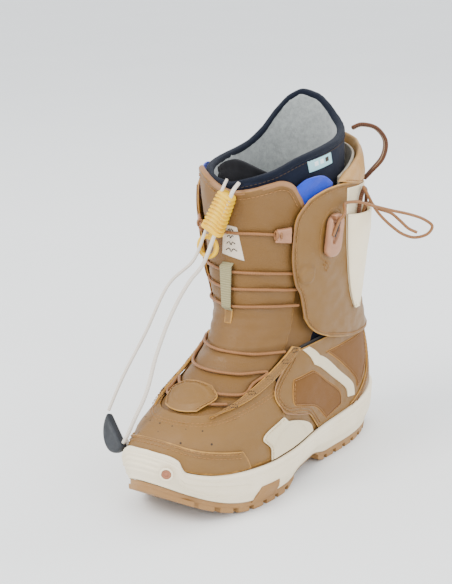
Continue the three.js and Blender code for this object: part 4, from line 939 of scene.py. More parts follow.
def add_disc(verts, faces, spot, radius, dome, sides):
    """Small domed disc, closed, appended to a growing mesh."""
    base = len(verts)
    angle = 2 * math.pi * np.arange(sides) / sides
    for size, height in ((1.0, -0.5), (1.0, 0.0), (0.75, dome * 0.6), (0.35, dome)):
        ring = np.stack([radius * size * np.cos(angle), radius * size * np.sin(angle),
                         np.full(sides, height)], 1)
        verts.extend(put(spot, ring))
    for k in range(3):
        for i in range(sides):
            j = (i + 1) % sides
            faces.append((base + k * sides + i, base + k * sides + j,
                          base + (k + 1) * sides + j, base + (k + 1) * sides + i))
    faces.append(tuple(base + i for i in reversed(range(sides))))
    faces.append(tuple(base + 3 * sides + i for i in range(sides)))


def vamp_patch():
    """Oval leather patch over the lowest lace, sewn down at its lower edge, with a raised oval welt."""
    def low(theta, t):
        return lerp(-0.7, 1.1, ease(0.262, 0.288, t))

    def welt(theta, t, u, v):
        oval = np.hypot((u - 0.5) / 0.36, (v - 0.52) / 0.33)
        return 0.55 * np.exp(-((oval - 1) / 0.1) ** 2) + 0.5 * ease(1.0, 0.4, oval)

    sewn_panel("vamp_patch_leather", "vamp_patch", VAMP_PATCH_SIDES,
               (low, lambda theta, t: low(theta, t) + 1.0),
               "leather", "foot", stitched=("left", "right", "top"), centre=(0, 0.31), distances=(1.5,),
               pitch=0.9, rim=0.8, rough=0.08, seed=4, shape=welt)


def quarters():
    for side, sign in SIDES:
        sides = on_side(QUARTER_SIDES, sign)
        sewn_panel(f"quarter_leather_{side}", f"quarter_{side}", sides, QUARTER, "leather", "foot",
                   stitched=("left",), centre=(sign * 140, 0.3), distances=(2.0, 4.4), pitch=2.0, rim=0.8,
                   rough=0.2, seed=5, shape=lambda theta, t, u, v: -0.25 * ease(0.4, 0.47, t))
        line = [skin(np.array([a]), np.array([b]), QUARTER[1] + 0.05)[0] for a, b in sides["left"][1:]]
        piping, _ = tube(f"quarter_piping_{side}", line, 0.55, sides=8, step=2.0)
        dress(piping, "binding_leather", "foot")


def eyestays():
    for side, sign in SIDES:
        sides = on_side(EYESTAY_SIDES, sign)
        sewn_panel(f"eyestay_leather_{side}", f"eyestay_{side}", sides, (QUARTER[1] - 0.9, OVERLAY[1]),
                   "leather",
                   "foot", stitched=("left", "right"), centre=(sign * 54, 0.35), distances=(1.8,), pitch=1.5,
                   rim=1.0, puff=0.5, rough=0.12, seed=6)
        rows = []
        for theta, t in BAR_TACKS:
            rows += tack(sign * theta, t, sign * 38)
        stitch_rows(f"eyestay_tacks_{side}", rows, "foot", "dark_thread", length=1.5, gap=0.3, radius=0.33)


def tack(theta, t, turn, width=6.0, height=2.6):
    """Small sewn rectangle where a lace loop is held, as four (theta, t, lift) lines."""
    spot = surface_frame(theta, t, 0, turn)
    corners = [(-width / 2, -height / 2), (width / 2, -height / 2), (width / 2, height / 2),
               (-width / 2, height / 2)]
    return [[on_skin(spot, a, theta, t), on_skin(spot, b, theta, t)]
            for a, b in zip(corners, corners[1:] + corners[:1])]


def on_skin(spot, offset, theta, t):
    """(theta, t, lift) of a point offset by (x, y) millimetres in a surface frame."""
    d_theta = (bare_skin(theta + 0.5, t) - bare_skin(theta - 0.5, t))
    d_t = (bare_skin(theta, t + 0.005) - bare_skin(theta, t - 0.005)) / 0.01
    move = spot[:3, 0] * offset[0] + spot[:3, 1] * offset[1]
    step = np.linalg.lstsq(np.stack([d_theta, d_t], 1), move, rcond=None)[0]
    return (theta + step[0], t + step[1], DETAIL_TO_OVERLAY)


def side_patches():
    for side, sign in SIDES:
        arch = surface_line([(sign * a, b) for a, b in ARCH_MARK])

        def arch_ridge(theta, t, u, v, arch=arch):
            distance = nearest(skin(theta, t, 0), [arch])
            return 0.45 * np.exp(-((distance - 0.9) / 0.55) ** 2) - 0.2 * np.exp(-(distance / 0.5) ** 2)

        sewn_panel(f"forefoot_cream_{side}", f"forefoot_patch_{side}", on_side(FOREFOOT_SIDES, sign),
                   (-0.4, 1.1),
                   "cream_leather", "foot", stitched=("left", "top"), centre=(sign * 90, 0.11),
                   distances=(1.3,),
                   thread="pale_thread", pitch=0.8, rim=1.0, puff=0.3, rough=0.08, seed=7, shape=arch_ridge)
        sewn_panel(f"ankle_stripe_cream_{side}", f"ankle_stripe_{side}", on_side(STRIPE_SIDES, sign),
                   (0.5, 1.7),
                   "cream_leather", "foot", pitch=1.2, rim=1.2, puff=0.7, rough=0.1, seed=8)
        sewn_panel(f"front_suede_leather_{side}", f"front_suede_{side}", on_side(FRONT_SUEDE_SIDES, sign),
                   (0.4, 1.25),
                   "suede", "foot", stitched=("left", "right", "bottom", "top"), centre=(sign * 97, 0.2),
                   distances=(1.4,), pitch=1.6, rim=0.6, rough=0.15, seed=9)
        sewn_panel(f"rear_suede_leather_{side}", f"rear_suede_{side}", on_side(REAR_SUEDE_SIDES, sign),
                   (0.4, 1.25),
                   "suede", "foot", stitched=("left", "right", "top"), centre=(sign * 126, 0.3),
                   distances=(1.4,), pitch=1.8, rim=0.6, rough=0.15, seed=10)
    sewn_panel("heel_counter_leather", "heel_counter", COUNTER_SIDES, (0.7, OVERLAY[1] - 0.1), "leather",
               "foot",
               stitched=("left", "right", "top"), centre=(180, 0.2), distances=(2.0, 4.2), pitch=2.0, rim=1.0,
               puff=0.4, rough=0.15, seed=11)


# ------------------------------------------------------------------ tongue

TONGUE_SIDES = {
    "bottom": [(-30, 0.225), (-12, 0.215), (0, 0.212), (12, 0.215), (30, 0.225)],
    "top": [(-58, 0.95), (-48, 1.02), (-30, 1.02), (0, 0.975), (18, 0.98), (34, 1.0), (43, 1.008),
            (51, 0.99), (58, 0.93)],
    "left": [(-30, 0.225), (-43, 0.345), (-52, 0.44), (-52, 0.58), (-58, 0.72), (-60, 0.84), (-58, 0.95)],
    "right": [(30, 0.225), (46, 0.345), (56, 0.44), (56, 0.58), (58, 0.72), (60, 0.84), (58, 0.93)],
}


def bend_piece(piece):
    """Bakes the piece's placement into its mesh and leaves it unparented, so it does not follow the foot or
    the cuff.
    """
    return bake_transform(piece)


def tongue(lace_lines):
    def padding(theta, t, u, v):
        p = skin(theta, t, 0)
        body = 1.0 * np.sin(math.pi * u) ** 0.5 * ease(0.26, 0.33, t)
        folds = 0.35 * np.sin((t - 0.44) * 2 * math.pi / 0.034)
        folds = folds * ease(0.42, 0.46, t) * (1 - ease(0.55, 0.6, t))
        return body + folds + dented(p, lace_lines, 0.75, 3.0) + 0.35 * ripple(p, 34, 12)

    rows = [raised(inset(TONGUE_SIDES["top"], 5.2, (0, 0.8)), TONGUE[1] + 0.8)]
    piece = panel("tongue_leather", TONGUE_SIDES, *TONGUE, pitch=1.9, rim=1.2, seams=seam_points(rows),
                  rough=0.1,
                  seed=13, shape=padding)
    dress(piece, "tongue_leather", None)
    bend_piece(piece)
    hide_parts("tongue_lower", "tongue_bend", "tongue_upper")
    stitch_rows("tongue_stitches", rows, "cuff")
    tongue_gussets()
    edge = along(TONGUE_SIDES["top"], np.linspace(0, 1, 40))
    line = skin(edge[:, 0], edge[:, 1] - 0.004, sum(TONGUE) / 2 + 0.3)
    binding, _ = tube("tongue_binding", line, 2.3, sides=12, step=2.0, flat=0.8)
    dress(binding, "binding_leather", "cuff")


def tongue_gussets():
    """Soft leather folds that close the gap between the tongue and the sides at the ankle."""
    for side, sign in SIDES:
        sides = on_side({"bottom": [(44, 0.4), (80, 0.43)], "top": [(50, 0.7), (80, 0.64)],
                         "left": [(44, 0.4), (47, 0.5), (50, 0.7)], "right": [(80, 0.43), (80, 0.64)]}, sign)

        def folds(theta, t, u, v):
            return 0.3 * np.sin((t * 150 + np.abs(theta) * 0.2))

        piece = panel(f"tongue_gusset_{side}", sides, -5.5, -5.0, pitch=2.4, rim=0.5, rough=0.1, seed=17,
                      shape=folds)
        dress(piece, "tongue_leather", None)
        bend_piece(piece)


def label_and_keeper():
    sides = {"bottom": [(-7, 0.762), (14, 0.746)], "top": [(-4, 0.862), (8, 0.856)],
             "left": [(-7, 0.762), (-4, 0.862)], "right": [(14, 0.746), (8, 0.856)]}
    piece = panel("tongue_label_cloth", sides, -2.3, -1.0, pitch=1.2, rim=0.3, rough=0.05, seed=14)
    dress(piece, "label", "cuff")
    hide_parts("tongue_label")
    marks = []
    for k in range(4):
        t = 0.775 + 0.022 * k
        half = 6.5 - 1.2 * k
        peak = 0.008
        marks.append([(2.5 - half * 0.8, t, -0.85), (2.5 - half * 0.25, t + peak, -0.85),
                      (2.5, t - 0.002, -0.85),
                      (2.5 + half * 0.35, t + peak, -0.85), (2.5 + half * 0.9, t, -0.85)])
    stitch_rows("tongue_label_pattern", marks, "cuff", "dark_thread", length=1.8, gap=0.1, radius=0.35)

    def arch(t):
        v = (t - 0.584) / 0.151
        return ease(0.02, 0.1, v) * (1 - ease(0.93, 0.99, v))

    keeper_sides = {"bottom": [(-5.5, 0.584), (3, 0.584)], "top": [(-7, 0.735), (4, 0.735)],
                    "left": [(-5.5, 0.584), (-7, 0.735)], "right": [(3, 0.584), (4, 0.735)]}
    keeper = panel("lace_keeper_webbing", keeper_sides, lambda theta, t: -1.9 + 3.5 * arch(t),
                   lambda theta, t: -0.7 + 3.5 * arch(t), pitch=1.0, rim=0.4, rough=0.08, seed=15)
    dress(keeper, "webbing", "cuff")
    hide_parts("lace_keeper")
    tab_sides = {"bottom": [(-5, 0.548), (2.6, 0.548)], "top": [(-5.6, 0.592), (3.1, 0.592)],
                 "left": [(-5, 0.548), (-5.6, 0.592)], "right": [(2.6, 0.548), (3.1, 0.592)]}
    tab = panel("lace_keeper_tab", tab_sides, -2.0, -0.6, pitch=1.0, rim=0.6, rough=0.05, seed=16)
    dress(tab, "leather", "cuff")
    stitch_rows("lace_keeper_stitches", [[(-6.2, 0.727, -0.55), (3.2, 0.727, -0.55)],
                                         [(-4.6, 0.584, -0.45), (2.4, 0.584, -0.45)],
                                         [(-4.2, 0.553, -0.5), (2.0, 0.553, -0.5)]], "cuff")


# ------------------------------------------------------------------ laces

LOWER_ROWS = [(34, 0.292, -34, 0.292), (42, 0.322, -40, 0.335), (50, 0.388, -45, 0.4), (56, 0.45, -48, 0.47)]
UPPER_ROWS = [(58, 0.602, -56, 0.602), (58, 0.655, -54, 0.655), (54, 0.705, -52, 0.71),
              (45, 0.836, -45, 0.836)]
TURN_THETA = 2


def lace_points(rows):
    """Zig-zag lace: rows across the tongue joined by short runs under the edges."""
    points = []
    for k, (outer, outer_t, inner, inner_t) in enumerate(rows):
        crown = 0 if min(outer_t, inner_t) > 0.5 else 0.008
        line = [(outer, outer_t), (outer * 0.55, lerp(outer_t, inner_t, 0.22) + 0.004),
                (0, (outer_t + inner_t) / 2 + crown),
                (inner * 0.55, lerp(outer_t, inner_t, 0.78) + 0.004), (inner, inner_t)]
        points += line if k % 2 == 0 else line[::-1]
        if k + 1 < len(rows):
            even = k % 2 == 0
            theta = inner - TURN_THETA if even else outer + TURN_THETA
            here, there = (inner_t, rows[k + 1][3]) if even else (outer_t, rows[k + 1][1])
            points.append((theta, (here + there) / 2))
    at = np.array(points)
    return skin(at[:, 0], at[:, 1], LACE_LIFT)


def laces():
    lines = []
    for part, rows, body in (("lower", LOWER_ROWS, "foot"), ("upper", UPPER_ROWS, "cuff")):
        piece, line = tube(f"lace_{part}_cord", lace_points(rows), LACE_R, sides=12, step=1.3)
        dress(piece, "lace", body)
        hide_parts(f"lace_{part}")
        lines.append(line)
    return lines


# ------------------------------------------------------------------ liner

RIM_OF_LINER = smooth_table(
    [0, 35, 60, 85, 105, 130, 150, 165, 180, 195, 210, 225, 240, 255, 270, 300, 330, 360],
    [1.0, 1.04, 1.085, 1.11, 1.125, 1.15, 1.18, 1.215, 1.245, 1.255, 1.235, 1.185, 1.115, 1.07,
     1.05, 1.03, 1.01, 1.0])
FLEECE_THICK = 3.4


def bottom_of_liner_cuff(theta):
    return lerp(0.6, 0.505, 0.5 - 0.5 * np.cos(np.radians(theta)))


def band(name, count, levels, low_t, high_t, outer, inner, rough=0.0, seed=20):
    """Closed ring of cloth round the boot between two heights and two lifts."""
    theta = 360 * np.arange(count) / count
    share = np.linspace(0, 1, levels)[:, None]
    t = lerp(low_t(theta)[None], high_t(theta)[None], share)
    wide = np.broadcast_to(theta, t.shape)
    base = skin(wide, t, 0)
    bumpy = rough * ripple(base, 16, seed) + rough * 0.6 * ripple(base, 6, seed + 1)
    front = skin(wide, t, outer(wide, t) + bumpy)
    back = skin(wide, t, inner(wide, t) + bumpy * 0.5)
    run = 3.0 * np.arange(2 * levels + 1)
    return ring_mesh(name, np.concatenate([front, back[::-1]]), close=True,
                     cloth_x=np.linspace(0, 330, count + 1), cloth_y=run)


def liner():
    count = 150
    rim = lambda theta: RIM_OF_LINER(theta) - 0.012
    shell_piece = band("liner_cuff_cloth", count, 34, bottom_of_liner_cuff, rim, liner_lift,
                       lambda theta, t: liner_lift(theta, t) - 2.0, rough=0.22)
    dress(shell_piece, "liner_fabric", "cuff")
    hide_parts("liner_cuff")
    fleece = band("liner_cuff_fleece", count, 44, bottom_of_liner_cuff, rim,
                  lambda theta, t: liner_lift(theta, t) - 2.1,
                  lambda theta, t: liner_lift(theta, t) - LINER_THICK, rough=0.5, seed=24)
    dress(fleece, "fleece", "cuff")
    binding()
    rise = lambda theta: 0.03 + 0 * theta
    meet = lambda theta: bottom_of_liner_cuff(theta) - 0.003
    for name, material, low, high, nodes in (
            ("liner_sock_cloth", "liner_fabric", -0.3, -0.9, ("liner_bend",)),
            ("liner_sock_fleece", "fleece", -1.0, -FLEECE_THICK, ("liner_foot",))):
        sock = band(name, 120, 30, rise, meet, lambda theta, t: LINER_LIFT + low + 0 * t,
                    lambda theta, t: LINER_LIFT + high + 0 * t, rough=0.12, seed=26)
        lift_floor(sock)
        dress(sock, material, None)
        bend_piece(sock)
        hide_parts(*nodes)
    liner_front()


def lift_floor(sock):
    """Keeps the sock's lower rim just above the footbed's underside."""
    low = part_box("footbed")[0][2] - 1.5 * MM
    for vertex in sock.data.vertices:
        vertex.co.z = max(vertex.co.z, low)


def binding():
    """Rolled woven tape round the liner's rim, stitched through below it."""
    count = 160
    theta = 360 * np.arange(count) / count
    t = RIM_OF_LINER(theta)
    angle = 2 * math.pi * np.arange(16) / 16
    middle = liner_lift(theta, t) - LINER_THICK / 2
    c, s = np.cos(angle)[:, None], np.sin(angle)[:, None]
    lift = middle[None] + (LINER_THICK / 2 + 0.45) * signed_power(c, 0.7)
    height = t[None] - 0.012 + 0.0125 * s * np.where(s > 0, 0.9, 1.0)
    around = np.broadcast_to(theta, height.shape)
    rings = skin(around, height, lift)
    rings = rings + 0.15 * ripple(rings, 5, 30)[..., None] * skin_normal(around, height)
    piece = ring_mesh("liner_binding_tape", rings, close=True, cloth_x=np.linspace(0, 330, count + 1),
                      cloth_y=1.3 * np.arange(17))
    dress(piece, "liner_binding", "cuff")
    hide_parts("liner_binding")
    around = np.linspace(0, 360, 40)
    rim = RIM_OF_LINER(around)
    rows = [np.column_stack([around, rim - 0.0255, liner_lift(around, rim) + 0.1])]
    stitch_rows("liner_binding_stitches", rows, "cuff", "dark_thread", length=2.6)


def liner_front():
    sides = {"bottom": [(-38, 0.62), (0, 0.62), (38, 0.62)], "top": [(-34, 1.03), (0, 1.07), (34, 1.03)],
             "left": [(-38, 0.62), (-42, 0.82), (-34, 1.03)], "right": [(38, 0.62), (42, 0.82), (34, 1.03)]}

    def inner_lift(theta, t):
        return liner_lift(theta, t) - LINER_THICK - 5.6

    def quilting(theta, t, u, v):
        channels = -0.7 * np.exp(-((np.abs((v * 6) % 1 - 0.5)) / 0.12) ** 2)
        return channels + 0.3 * ripple(skin(theta, t, 0), 15, 31)

    piece = panel("liner_tongue_pad", sides, inner_lift, lambda theta, t: inner_lift(theta, t) + 3.4,
                  pitch=2.2,
                  rim=2.0, puff=1.2, rough=0.2, seed=32, shape=quilting)
    dress(piece, "liner_padding", "cuff")
    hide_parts("liner_tongue")
    label_sides = {"bottom": [(66, 1.028), (90, 1.045)], "top": [(64, 1.066), (88, 1.083)],
                   "left": [(66, 1.028), (64, 1.066)], "right": [(90, 1.045), (88, 1.083)]}
    label = panel("liner_label_cloth", label_sides, lambda theta, t: liner_lift(theta, t) + 0.1,
                  lambda theta, t: liner_lift(theta, t) + 0.6, pitch=1.0, rim=0.3, rough=0.05, seed=33)
    dress(label, "pale_label", "cuff")
    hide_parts("liner_label")
    for k, (a, b, material) in enumerate(((71, 74.5, "white_label"), (76.5, 80, "white_label"),
                                          (82, 85.5, "dark_thread"))):
        rise = 0.009 + 0.0007 * (a - 66)
        block = {"bottom": [(a, 1.034 + rise), (b, 1.037 + rise)],
                 "top": [(a - 0.8, 1.049 + rise), (b - 0.8, 1.052 + rise)],
                 "left": [(a, 1.034 + rise), (a - 0.8, 1.049 + rise)],
                 "right": [(b, 1.037 + rise), (b - 0.8, 1.052 + rise)]}
        piece = panel(f"liner_label_block_{k}", block, lambda theta, t: liner_lift(theta, t) + 0.5,
                      lambda theta, t: liner_lift(theta, t) + 0.75, pitch=0.8, rim=0.2, rough=0.0)
        dress(piece, material, "cuff")


# ------------------------------------------------------------------ cuff

CUFF_SIDES = {
    "bottom": [(62, 0.555), (67, 0.525), (75, 0.495), (89, 0.46), (102, 0.43), (118, 0.4), (140, 0.38),
               (171, 0.37)],
    "top": [(60, 0.95), (66, 0.966), (75, 0.98), (88, 0.985), (105, 0.975), (125, 0.965), (150, 0.96),
            (171, 0.96)],
    "left": [(62, 0.555), (57.7, 0.635), (53, 0.675), (49.5, 0.75), (49.5, 0.84), (52, 0.9), (60, 0.95)],
    "right": [(171, 0.37), (171, 0.665), (171, 0.96)],
}
BOSS = (61, 0.705)
LOCK_PLACE = (78, 0.83)
LOCK_SIZE = (17, 34, 5)
LOCK_LIFT = 3.0 + 0.3 + 1.2


def cuff_flaps():
    for side, sign in SIDES:
        sides = on_side(CUFF_SIDES, sign)
        boss = skin(np.array([sign * BOSS[0]]), np.array([BOSS[1]]), 0)
        ring_angle = np.linspace(0.25 * math.pi, 1.55 * math.pi, 40)
        spot = surface_frame(sign * BOSS[0], BOSS[1], 0)
        arc = [sign * 8.2 * np.cos(ring_angle), 8.2 * np.sin(ring_angle), 0 * ring_angle]
        welt = put(spot, np.stack(arc, 1))
        pad = surface_frame(sign * LOCK_PLACE[0], LOCK_PLACE[1], 0, -4 * sign)
        angle = np.linspace(0, 2 * math.pi, 60)
        oval = put(pad, np.stack([10.4 * signed_power(np.cos(angle), 0.8),
                                  19.2 * signed_power(np.sin(angle), 0.8), 0 * angle], 1))

        def relief(theta, t, u, v, boss=boss, welt=welt, oval=oval):
            p = skin(theta, t, 0)
            distance = np.linalg.norm(p - boss, axis=-1)
            bump = 1.7 * ease(8.6, 5.4, distance) - 0.5 * np.exp(-(nearest(p, [welt]) / 0.8) ** 2)
            ridge = 0.8 * np.exp(-(nearest(p, [oval]) / 1.0) ** 2)
            creases = -0.5 * np.exp(-((t - 0.56 - 0.03 * np.sin(theta / 9)) / 0.008) ** 2)
            creases = creases * ease(75, 120, np.abs(theta))
            return bump + ridge + creases

        sewn_panel(f"cuff_leather_{side}", f"cuff_quarter_{side}", sides, (flap_in, flap_out), "leather",
                   "cuff", stitched=("left", "bottom", "top"), centre=(sign * 100, 0.7), distances=(2.6,),
                   pitch=1.5, rim=0.9, rough=0.28, seed=40, shape=relief)
        edge = [skin(np.array([a]), np.array([b]), 3.0)[0] for a, b in sides["left"]]
        edge_piping, _ = tube(f"cuff_edge_{side}", edge, 0.5, sides=8, step=2.0)
        dress(edge_piping, "binding_leather", "cuff")
        lock_stitches(side, sign)


def lock_stitches(side, sign):
    """Oval of stitches round the lace lock and the little star tab sewn below it."""
    theta, t = sign * LOCK_PLACE[0], LOCK_PLACE[1]
    spot = surface_frame(theta, t, 0, -4 * sign)
    angle = np.linspace(0, 2 * math.pi, 26)
    oval = [on_flap(spot, (11.9 * signed_power(math.cos(a), 0.8), 20.8 * signed_power(math.sin(a), 0.8)),
                    theta, t) for a in angle]
    lines = [oval]
    tip = [(0, -22), (2.6, -26), (0, -30), (-2.6, -26), (0, -22)]
    lines += [[on_flap(spot, a, theta, t), on_flap(spot, b, theta, t)] for a, b in zip(tip, tip[1:])]
    lines += [[on_flap(spot, (sign * s * 1.2, -21), theta, t), on_flap(spot, (sign * s * 4.6, -25), theta, t)]
              for s in (-1, 1)]
    stitch_rows(f"lock_stitches_{side}", lines, "cuff", length=1.9, gap=0.5, radius=0.32)


def on_flap(spot, offset, theta, t):
    place = on_skin(spot, offset, theta, t)
    return (place[0], place[1], float(flap_out(place[0], place[1])) + 0.1)


def backstay():
    sides = {"bottom": [(168, 0.38), (180, 0.375), (192, 0.38)],
             "top": [(166, 0.95), (180, 0.952), (194, 0.95)],
             "left": [(168, 0.38), (166, 0.95)], "right": [(192, 0.38), (194, 0.95)]}
    sewn_panel("backstay_leather", "backstay", sides,
               (lambda theta, t: flap_out(theta, t) + 0.1, lambda theta, t: flap_out(theta, t) + 1.5),
               "leather",
               "cuff", stitched=("left", "right"), centre=(180, 0.7), distances=(1.8, 3.8), pitch=2.0,
               rim=0.9,
               puff=0.3, rough=0.15, seed=41)


COLLAR_TOP = smooth_table([86, 105, 125, 150, 180, 210, 235, 255, 274],
                          [1.0, 1.035, 1.065, 1.09, 1.1, 1.09, 1.065, 1.035, 1.0])
COLLAR_SECTION = [(-3.6, 0.02), (-1.0, -0.03), (2.4, 0.0), (3.7, 0.3), (2.9, 0.72), (0.6, 0.99), (-1.9, 1.0),
                  (-3.7, 0.78), (-4.1, 0.4), (-3.6, 0.02)]


def collar():
    count, sides = 130, 28
    theta = np.linspace(86, 274, count)
    foot = 0.983 - 0.024 * ease(0, 1, np.sin(np.maximum(0, theta - 86) / 188 * math.pi) * 2)
    section = along(COLLAR_SECTION, np.arange(sides) / sides)
    close = np.sin(np.clip((np.arange(count) + 0.35) / 7, 0, 1) * math.pi / 2)
    close = close * close[::-1]
    middle = section.mean(0)
    rings = []
    for k in range(count):
        shape = middle + (section - middle) * (close[k], close[k])
        t = lerp(foot[k], COLLAR_TOP(theta[k]), shape[:, 1])
        p = skin(np.full(sides, theta[k]), t, 0)
        soft = 0.35 * ripple(p, 22, 42) + 0.15 * ripple(p, 8, 43)
        rings.append(skin(np.full(sides, theta[k]), t, shape[:, 0] + soft * close[k]))
    piece = ring_mesh("collar_pad", rings, close=False, caps=True, cloth_x=1.6 * np.arange(sides + 1),
                      cloth_y=2.4 * np.arange(count + 1))
    dress(piece, "collar_leather", "cuff")
    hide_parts("collar")
    seam_theta = np.linspace(90, 270, 60)
    seam = np.column_stack([seam_theta, np.interp(seam_theta, theta, foot) + 0.012, np.full(60, 3.35)])
    stitch_rows("collar_stitches", [seam], "cuff")
    lining_sides = {"bottom": [(92, 0.955), (180, 0.955), (268, 0.955)],
                    "top": [(92, 1.0), (125, 1.05), (180, 1.075), (235, 1.05), (268, 1.0)],
                    "left": [(92, 0.955), (92, 1.0)], "right": [(268, 0.955), (268, 1.0)]}
    lining = panel("collar_lining_cloth", lining_sides, -6.4, -4.4, pitch=3.0, rim=0.8, rough=0.3, seed=44)
    dress(lining, "cream_fabric", "cuff")
    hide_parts("collar_lining")


def harness():
    for side, sign in SIDES:
        sides = on_side({"bottom": [(53, 0.9), (82, 0.9)], "top": [(53, 0.99), (60, 1.012), (70, 1.02),
                (77, 1.012), (82, 0.99)],
                         "left": [(53, 0.9), (53, 0.99)], "right": [(82, 0.9), (82, 0.99)]}, sign)

        def folds(theta, t, u, v):
            return 0.55 * np.sin((np.abs(theta) - 300 * (t - 0.95)) / 3.4) * ease(0.9, 0.95, t)

        piece = panel(f"harness_cloth_{side}", sides, -3.3, -2.2, pitch=1.3, rim=0.6, rough=0.2, seed=45,
                      shape=folds)
        dress(piece, "blue_fabric", "cuff")
        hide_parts(f"harness_{side}")


POUCH_SIDES = {
    "bottom": [(110, 0.535), (117, 0.53)],
    "top": [(92, 0.885), (116, 0.882), (140, 0.88)],
    "left": [(110, 0.535), (104, 0.6), (95, 0.78), (92, 0.885)],
    "right": [(117, 0.53), (126, 0.6), (137, 0.78), (140, 0.88)],
}


def pockets():
    for side, sign in SIDES:
        pouch = on_side(POUCH_SIDES, sign)
        top = [(sign * 91, 0.968), (sign * 115, 0.962), (sign * 141, 0.955)]
        backing = {"bottom": pouch["bottom"], "top": top,
                   "left": pouch["left"] + [top[0]], "right": pouch["right"] + [top[-1]]}

        def fullness(theta, t, u, v):
            sag = 0.4 * ripple(skin(theta, t, 0), 26, 46)
            belly = 6.6 * np.sin(math.pi * np.clip(u, 0, 1)) ** 0.8
            return belly * ease(0, 0.8, v) + sag * np.sin(math.pi * u)

        front = bulged_panel(f"pocket_pouch_{side}", pouch, lambda theta, t: flap_out(theta, t) + 0.7, 1.3,
                             fullness)
        dress(front, "cream_leather", "cuff")
        back = panel(f"pocket_back_{side}", backing, lambda theta, t: flap_out(theta, t) + 0.1,
                     lambda theta, t: flap_out(theta, t) + 0.9, pitch=2.4, rim=0.6, rough=0.1, seed=47)
        dress(back, "cream_leather", "cuff")
        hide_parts(f"stow_pocket_{side}")
        rows = [raised(inset(pouch[key], 1.6, (sign * 114, 0.75)), flap_out) + (0, 0, 2.2)
                for key in ("left", "right")]
        stitch_rows(f"pocket_stitches_{side}", rows, "cuff", "pale_thread")
        hem = [hem_point(sign, s) for s in np.linspace(0.02, 0.98, 15)]
        band_piece, _ = tube(f"pocket_hem_{side}", hem, 1.0, sides=10, step=1.6)
        dress(band_piece, "cream_leather", "cuff")


def hem_point(sign, s):
    theta, t = along(POUCH_SIDES["top"], s)
    lift = float(flap_out(theta, t)) + 1.35 + 6.6 * math.sin(math.pi * s) ** 0.8
    return skin(np.array([sign * theta]), np.array([t - 0.004]), lift)[0]


def bulged_panel(name, sides, low, thick, bulge):
    """Leather sheet of even thickness that stands away from the surface by a bulge."""
    u, v = np.linspace(0, 1, 34), np.linspace(0, 1, 44)
    at = coons(sides, u, v)
    theta, t = at[..., 0], at[..., 1]
    lift = low(theta, t) + bulge(theta, t, u[None, :] + 0 * t, v[:, None] + 0 * t)
    return shell(name, skin(theta, t, lift + thick), skin(theta, t, lift), u * 40, v * 90)


# ------------------------------------------------------------------ lace fittings

def rounded(width, height, radius, count=64):
    """Outline of a rounded rectangle, as x and y."""
    angle = 2 * math.pi * np.arange(count) / count
    c, s = np.cos(angle), np.sin(angle)
    return np.stack([np.sign(c) * (width / 2 - radius) + radius * c,
                     np.sign(s) * (height / 2 - radius) + radius * s], 1)


SLIT_LINE = [(-4.6, 14.2), (-1.9, 10.2), (0.6, 5.0), (-0.3, -0.5), (-2.4, -4.0)]


def lock_housings():
    """Moulded lace lock: a crowned plate with a hooked slit that the lace runs through."""
    width, height, depth = LOCK_SIZE
    outline = rounded(width, height, 7.2, 120)
    shares = np.concatenate([np.linspace(0, 0.9, 44), np.linspace(0.915, 1, 10)])
    for side, sign in SIDES:
        spot = surface_frame(sign * LOCK_PLACE[0], LOCK_PLACE[1], LOCK_LIFT, -4 * sign)
        slit = along([(sign * x, y) for x, y in SLIT_LINE], np.linspace(0, 1, 80))
        grid = outline[None] * shares[:, None, None]
        flat = grid.reshape(-1, 2)
        distance = np.linalg.norm(flat[:, None] - slit[None], axis=2).min(1).reshape(grid.shape[:2])
        round_off = 1 - np.sqrt(np.clip(1 - np.clip((shares - 0.8) / 0.2, 0, 1) ** 2, 0, 1))
        top = depth - 0.1 - 2.2 * round_off[:, None] - 0.5 * (flat[:, 0].reshape(distance.shape) / 8.5) ** 2
        hollow = np.hypot((grid[..., 0] + sign * 2.2) / 4.6, (grid[..., 1] - 9.5) / 6.2)
        top = top - 1.1 * ease(1.1, 0.75, hollow) - 3.1 * ease(2.1, 1.45, distance)
        rings = [np.concatenate([grid[k], top[k][:, None]], 1) for k in range(len(shares))]
        rings += [np.concatenate([outline * s, np.full((len(outline), 1), z)], 1)
                  for s, z in ((1.0, 1.6), (1.0, 0.3), (0.97, 0.0), (0.02, 0.0))]
        piece = ring_mesh(f"lace_lock_housing_{side}", [put(spot, r) for r in rings], close=False, caps=True)
        dress(piece, "lock_plastic", "cuff")
        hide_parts(f"lace_lock_{side}")
        cleat(side, sign, spot)


def cleat(side, sign, spot):
    """Toothed wedge that grips the lace, sliding along the slit."""
    lean = math.radians(22 * sign)
    c, s = math.cos(-lean), math.sin(-lean)
    verts = []
    teeth = 7
    for k in range(teeth * 2 + 1):
        y = -6.3 + 12.6 * k / (teeth * 2)
        reach = 0.75 if k % 2 else 0.45
        for x, z in ((-reach, 0.1), (0.75, 0.1), (0.75, 1.9), (0.3, 2.2), (-reach, 1.9)):
            px, py = sign * (1.8 + x), y - 2.0
            verts.append((px * c - py * s - 1.5 * sign, px * s + py * c + 8, z + 3.0))
    rings = put(spot, np.array(verts)).reshape(teeth * 2 + 1, 5, 3)
    piece = ring_mesh(f"lock_cleat_wedge_{side}", rings, close=False, caps=True, smooth=False)
    dress(piece, "dark_plastic", f"cleat_{side}")
    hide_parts(f"lock_cleat_{side}")


